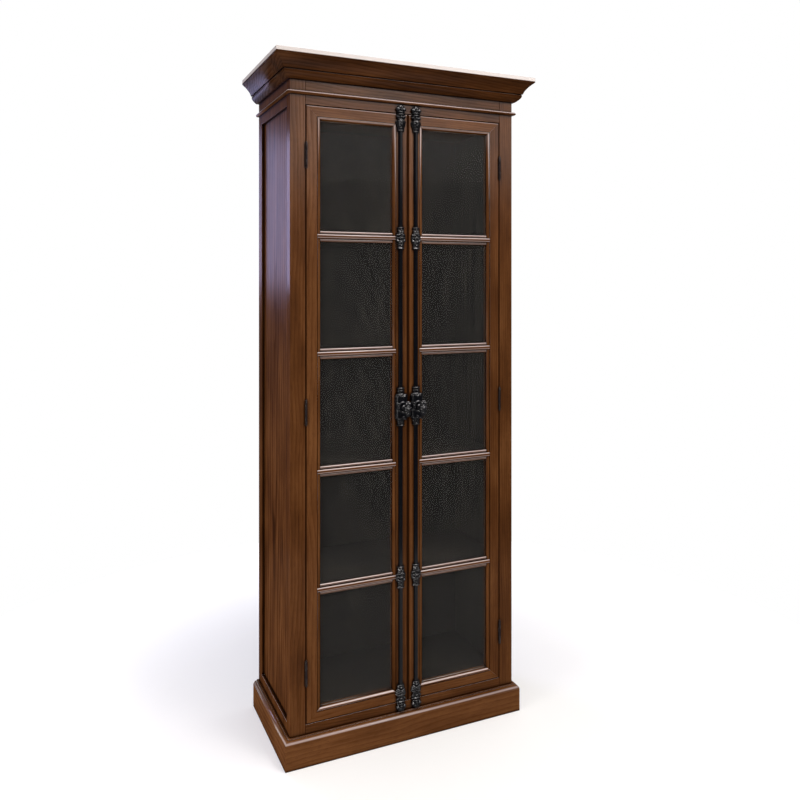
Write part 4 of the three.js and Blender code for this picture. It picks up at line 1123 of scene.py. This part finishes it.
def half_mid_forms():
    """Upper half of a middle guide, z from 0 at its boss to 35.5."""
    parts = lobes(9.0, 20.0, 3, 11.6, 9.4, 3.8)
    parts += tube([(-4.2, 8.6, 8.6, 1.3), (0.2, 11.4, 13.4, 1.8), (4.4, 8.8, 18.2, 1.3)])
    parts += mirrored_pair(curl(9.6, 5.0, 8.4, 3.6, 1.7, 70, -1.0, 2.0))
    parts += [blob(0, 2.8, 14.0, 8.0, 5.4, 10.5), blob(0, 9.4, 25.4, 2.6, 2.6, 3.6)]
    parts += gadroons(25.0, 7.0, 2.6, 4.4, 6, 1.9)
    parts += [blob(0, 2.8, 25.4, 7.6, 5.8, 5.8)]
    parts += ring(30.4, 8.4, 2.0, 7.0, 1.3)
    parts += ring(33.6, 9.4, 2.0, 7.6, 1.9)
    return parts


def upside_down(parts):
    """The same forms below z = 0."""
    made = []
    for points, faces in parts:
        flipped = [Vector((p.x, p.y, -p.z)) for p in points]
        made.append((flipped, [list(reversed(face)) for face in faces]))
    return made


def mid_guide_forms():
    half = half_mid_forms()
    parts = half + upside_down(half)
    parts += [blob(0, 3.6, 0, 9.2, 6.0, 6.6), blob(0, 11.0, 0, 3.6, 3.4, 3.6)]
    for index in range(8):
        angle = index * math.pi / 4
        parts.append(blob(math.cos(angle) * 5.8, 9.4, math.sin(angle) * 5.8, 1.8, 2.2, 1.8))
    parts += mirrored_pair(tube([(8.4, 4.8, 0, 3.0), (11.8, 3.4, 0, 2.2), (14.4, 2.0, 0, 1.2)]))
    parts += mirrored_pair([
        blob(11.0, 4.4, 3.8, 2.0, 2.0, 2.6, 20), blob(11.0, 4.4, -3.8, 2.0, 2.0, 2.6, -20),
    ])
    return parts


def case_forms():
    """Gear case, z from -62.5 to 62.5, with the spindle at z = 0."""
    half = ring(60.0, 9.6, 2.0, 8.4, 2.5)
    half += ring(55.6, 8.6, 2.0, 7.6, 1.3)
    half += [blob(0, 3.4, 49.0, 9.4, 7.4, 7.6), blob(0, 11.4, 50.4, 2.6, 2.8, 3.8)]
    half += gadroons(49.4, 8.6, 3.2, 5.2, 7, 1.9)
    half += ring(42.2, 10.6, 2.0, 10.0, 1.8)
    half += mirrored_pair(curl(13.0, 8.0, 34.4, 5.0, 2.3, 100, -1.15, 3.4))
    half += [blob(0, 4.6, 34.0, 14.0, 11.6, 12.0)]
    half += lobes(38.0, 24.0, 4, 15.4, 18.6, 4.2)
    half += tube([(-4.8, 16.4, 39.0, 1.6), (0.2, 19.4, 33.6, 2.2), (5.0, 18.4, 28.0, 1.7)])
    half += mirrored_pair([blob(16.4, 6.0, 24.6, 2.2, 5.0, 4.2), blob(16.6, 8.0, 12.0, 2.0, 5.4, 5.4)])
    parts = half + upside_down(half)
    section = [(17.4, 0.0), (17.4, 9.0), (14.6, 15.4), (8.6, 19.0), (0.0, 20.2)]
    section = section + [(-x, out) for x, out in reversed(section[:-1])]
    parts += [prism_mesh(section, -34.0, 34.0)]
    for index in range(33):
        angle = index * math.pi / 16
        parts.append(blob(math.cos(angle) * 10.6, 19.8, math.sin(angle) * 16.4, 1.8, 2.6, 1.9))
    for index in range(16):
        angle = (index + 0.5) * math.pi / 8
        parts.append(blob(math.cos(angle) * 13.4, 17.2, math.sin(angle) * 20.4, 1.7, 2.6, 2.2))
    return parts


def knob_forms():
    """Oval knob about the spindle's line at z = 0, its face 70 from the door."""
    parts = [blob(0, 56.6, 0, 11.2, 8.6, 25.6)]
    parts += [blob(0, 65.2, 0, 3.8, 3.6, 5.6), blob(0, 67.6, 0, 2.0, 2.4, 2.4)]
    for index in range(10):
        angle = (index + 0.5) * math.pi / 5
        turn = -math.degrees(math.atan2(math.sin(angle) * 9.0, math.cos(angle) * 4.6)) + 90
        parts.append(blob(math.cos(angle) * 4.6, 63.6, math.sin(angle) * 9.0, 1.7, 2.6, 3.6, turn))
    for index in range(18):
        angle = (index + 0.5) * math.pi / 9
        turn = -math.degrees(math.atan2(math.sin(angle) * 2.1, math.cos(angle))) + 90
        place = (math.cos(angle) * 9.6, 59.6, math.sin(angle) * 22.6)
        parts.append(blob(*place, 2.1, 4.0, 4.2, turn))
    for sign in (1, -1):
        parts += [blob(0, 62.6, sign * 17.0, 2.4, 3.4, 4.6)]
        parts += mirrored_pair(curl(5.2, 61.6, sign * 15.6, 3.2, 1.5, 90 * sign, -1.0 * sign, 1.2))
    turned = [
        (29.4, 8.6), (31.6, 8.6), (33.4, 6.2), (38.0, 5.2),
        (43.0, 6.0), (46.0, 8.2), (48.2, 8.4), (50.5, 7.0),
    ]
    for out, radius in turned:
        parts.append(blob(0, out - 3.6, 0, radius, 2.6, radius))
        parts.append(blob(0, out - 2.0, 0, radius * 0.97, 2.6, radius * 0.97))
    return parts


def round_bar(radius, out0, out1, count=32):
    """A plain turned bar or hole about the spindle's line."""
    points = []
    for out in (out0, out1):
        for index in range(count):
            angle = 2 * math.pi * index / count
            points.append(Vector((math.cos(angle) * radius, -out, math.sin(angle) * radius)))
    faces = [list(range(count)), list(range(count, 2 * count))]
    for index in range(count):
        after = (index + 1) % count
        faces.append([index, after, count + after, count + index])
    return outward(points, faces)


def node_span(name):
    """A node's half width, depth before the door's face, and lowest and highest z, in millimetres."""
    low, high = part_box(name)
    return (high.x - low.x) / 2 / MM, (DOOR_FACE - low.y) / MM, low.z / MM, high.z / MM


def make_castings(material):
    channel = prism_mesh(rod_section(ROD_FIT), -200, 200)
    socket = prism_mesh(rod_section(ROD_FIT), -20, SOCKET_DEPTH)
    guide_span = node_span("top_guide_left")
    mid_span = node_span("upper_mid_guide_left")
    case_span = node_span("gear_case_left")
    case_z = sum(case_span[2:]) / 2
    guide_mesh = cast("guide_end", end_guide_forms(), guide_span, "top", [channel])
    mid_mesh = cast("guide_mid", mid_guide_forms(), mid_span, "middle", [channel])
    keepers = {}
    for end in ("top", "bottom"):
        span = node_span(f"{end}_keeper_left")
        forms = keeper_forms(span[3] - span[2])
        keepers[end] = cast(f"keeper_{end}", forms, span, "bottom", [socket])
    cavity = block_mesh(
        -CAVITY_HALF_WIDTH, CAVITY_HALF_WIDTH, -5, CAVITY_DEPTH, -CAVITY_HALF_LENGTH, CAVITY_HALF_LENGTH,
    )
    hole = round_bar(SPINDLE_HOLE_RADIUS, 5, 40)
    case_mesh = cast("case_cast", case_forms(), case_span, "middle", [channel, cavity, hole])
    spindle = round_bar(SPINDLE_RADIUS, 0.6, 30.0)
    knob_mesh = cast("knob_cast", knob_forms() + [spindle], None, "middle", [])
    guide_foot = node_span("bottom_guide_left")[2]
    keeper_low = node_span("top_keeper_left")[2]
    keeper_high = node_span("bottom_keeper_left")[3]
    for side, sign in SIDES:
        door = f"door_{side}"
        plans = [
            # piece, node, body, mesh, height in millimetres, 1 for upright and -1 for upside down
            ("guide_top_cast", "top_guide", door, guide_mesh, guide_span[3], 1),
            ("guide_foot_cast", "bottom_guide", door, guide_mesh, guide_foot, -1),
            ("keeper_top_cast", "top_keeper", "carcass", keepers["top"], keeper_low, 1),
            ("keeper_foot_cast", "bottom_keeper", "carcass", keepers["bottom"], keeper_high, -1),
            ("case_cast", "gear_case", door, case_mesh, case_z, 1),
            ("knob_cast", "knob", f"knob_{side}", knob_mesh, case_z, 1),
        ]
        for level in ("upper", "lower"):
            middle = sum(node_span(f"{level}_mid_guide_left")[2:]) / 2
            plans.append((f"guide_{level}_cast", f"{level}_mid_guide", door, mid_mesh, middle, 1))
        for name, node, body, mesh, z, upright in plans:
            place_casting(f"{name}_{side}", f"{node}_{side}", body, mesh, z, (-sign, upright), material)


make_camera()
make_world()
make_lamps()
make_floor()
dress_wood()
dress_interior()
dress_metal_and_glass()

bpy.context.scene.view_settings.view_transform = "Standard"
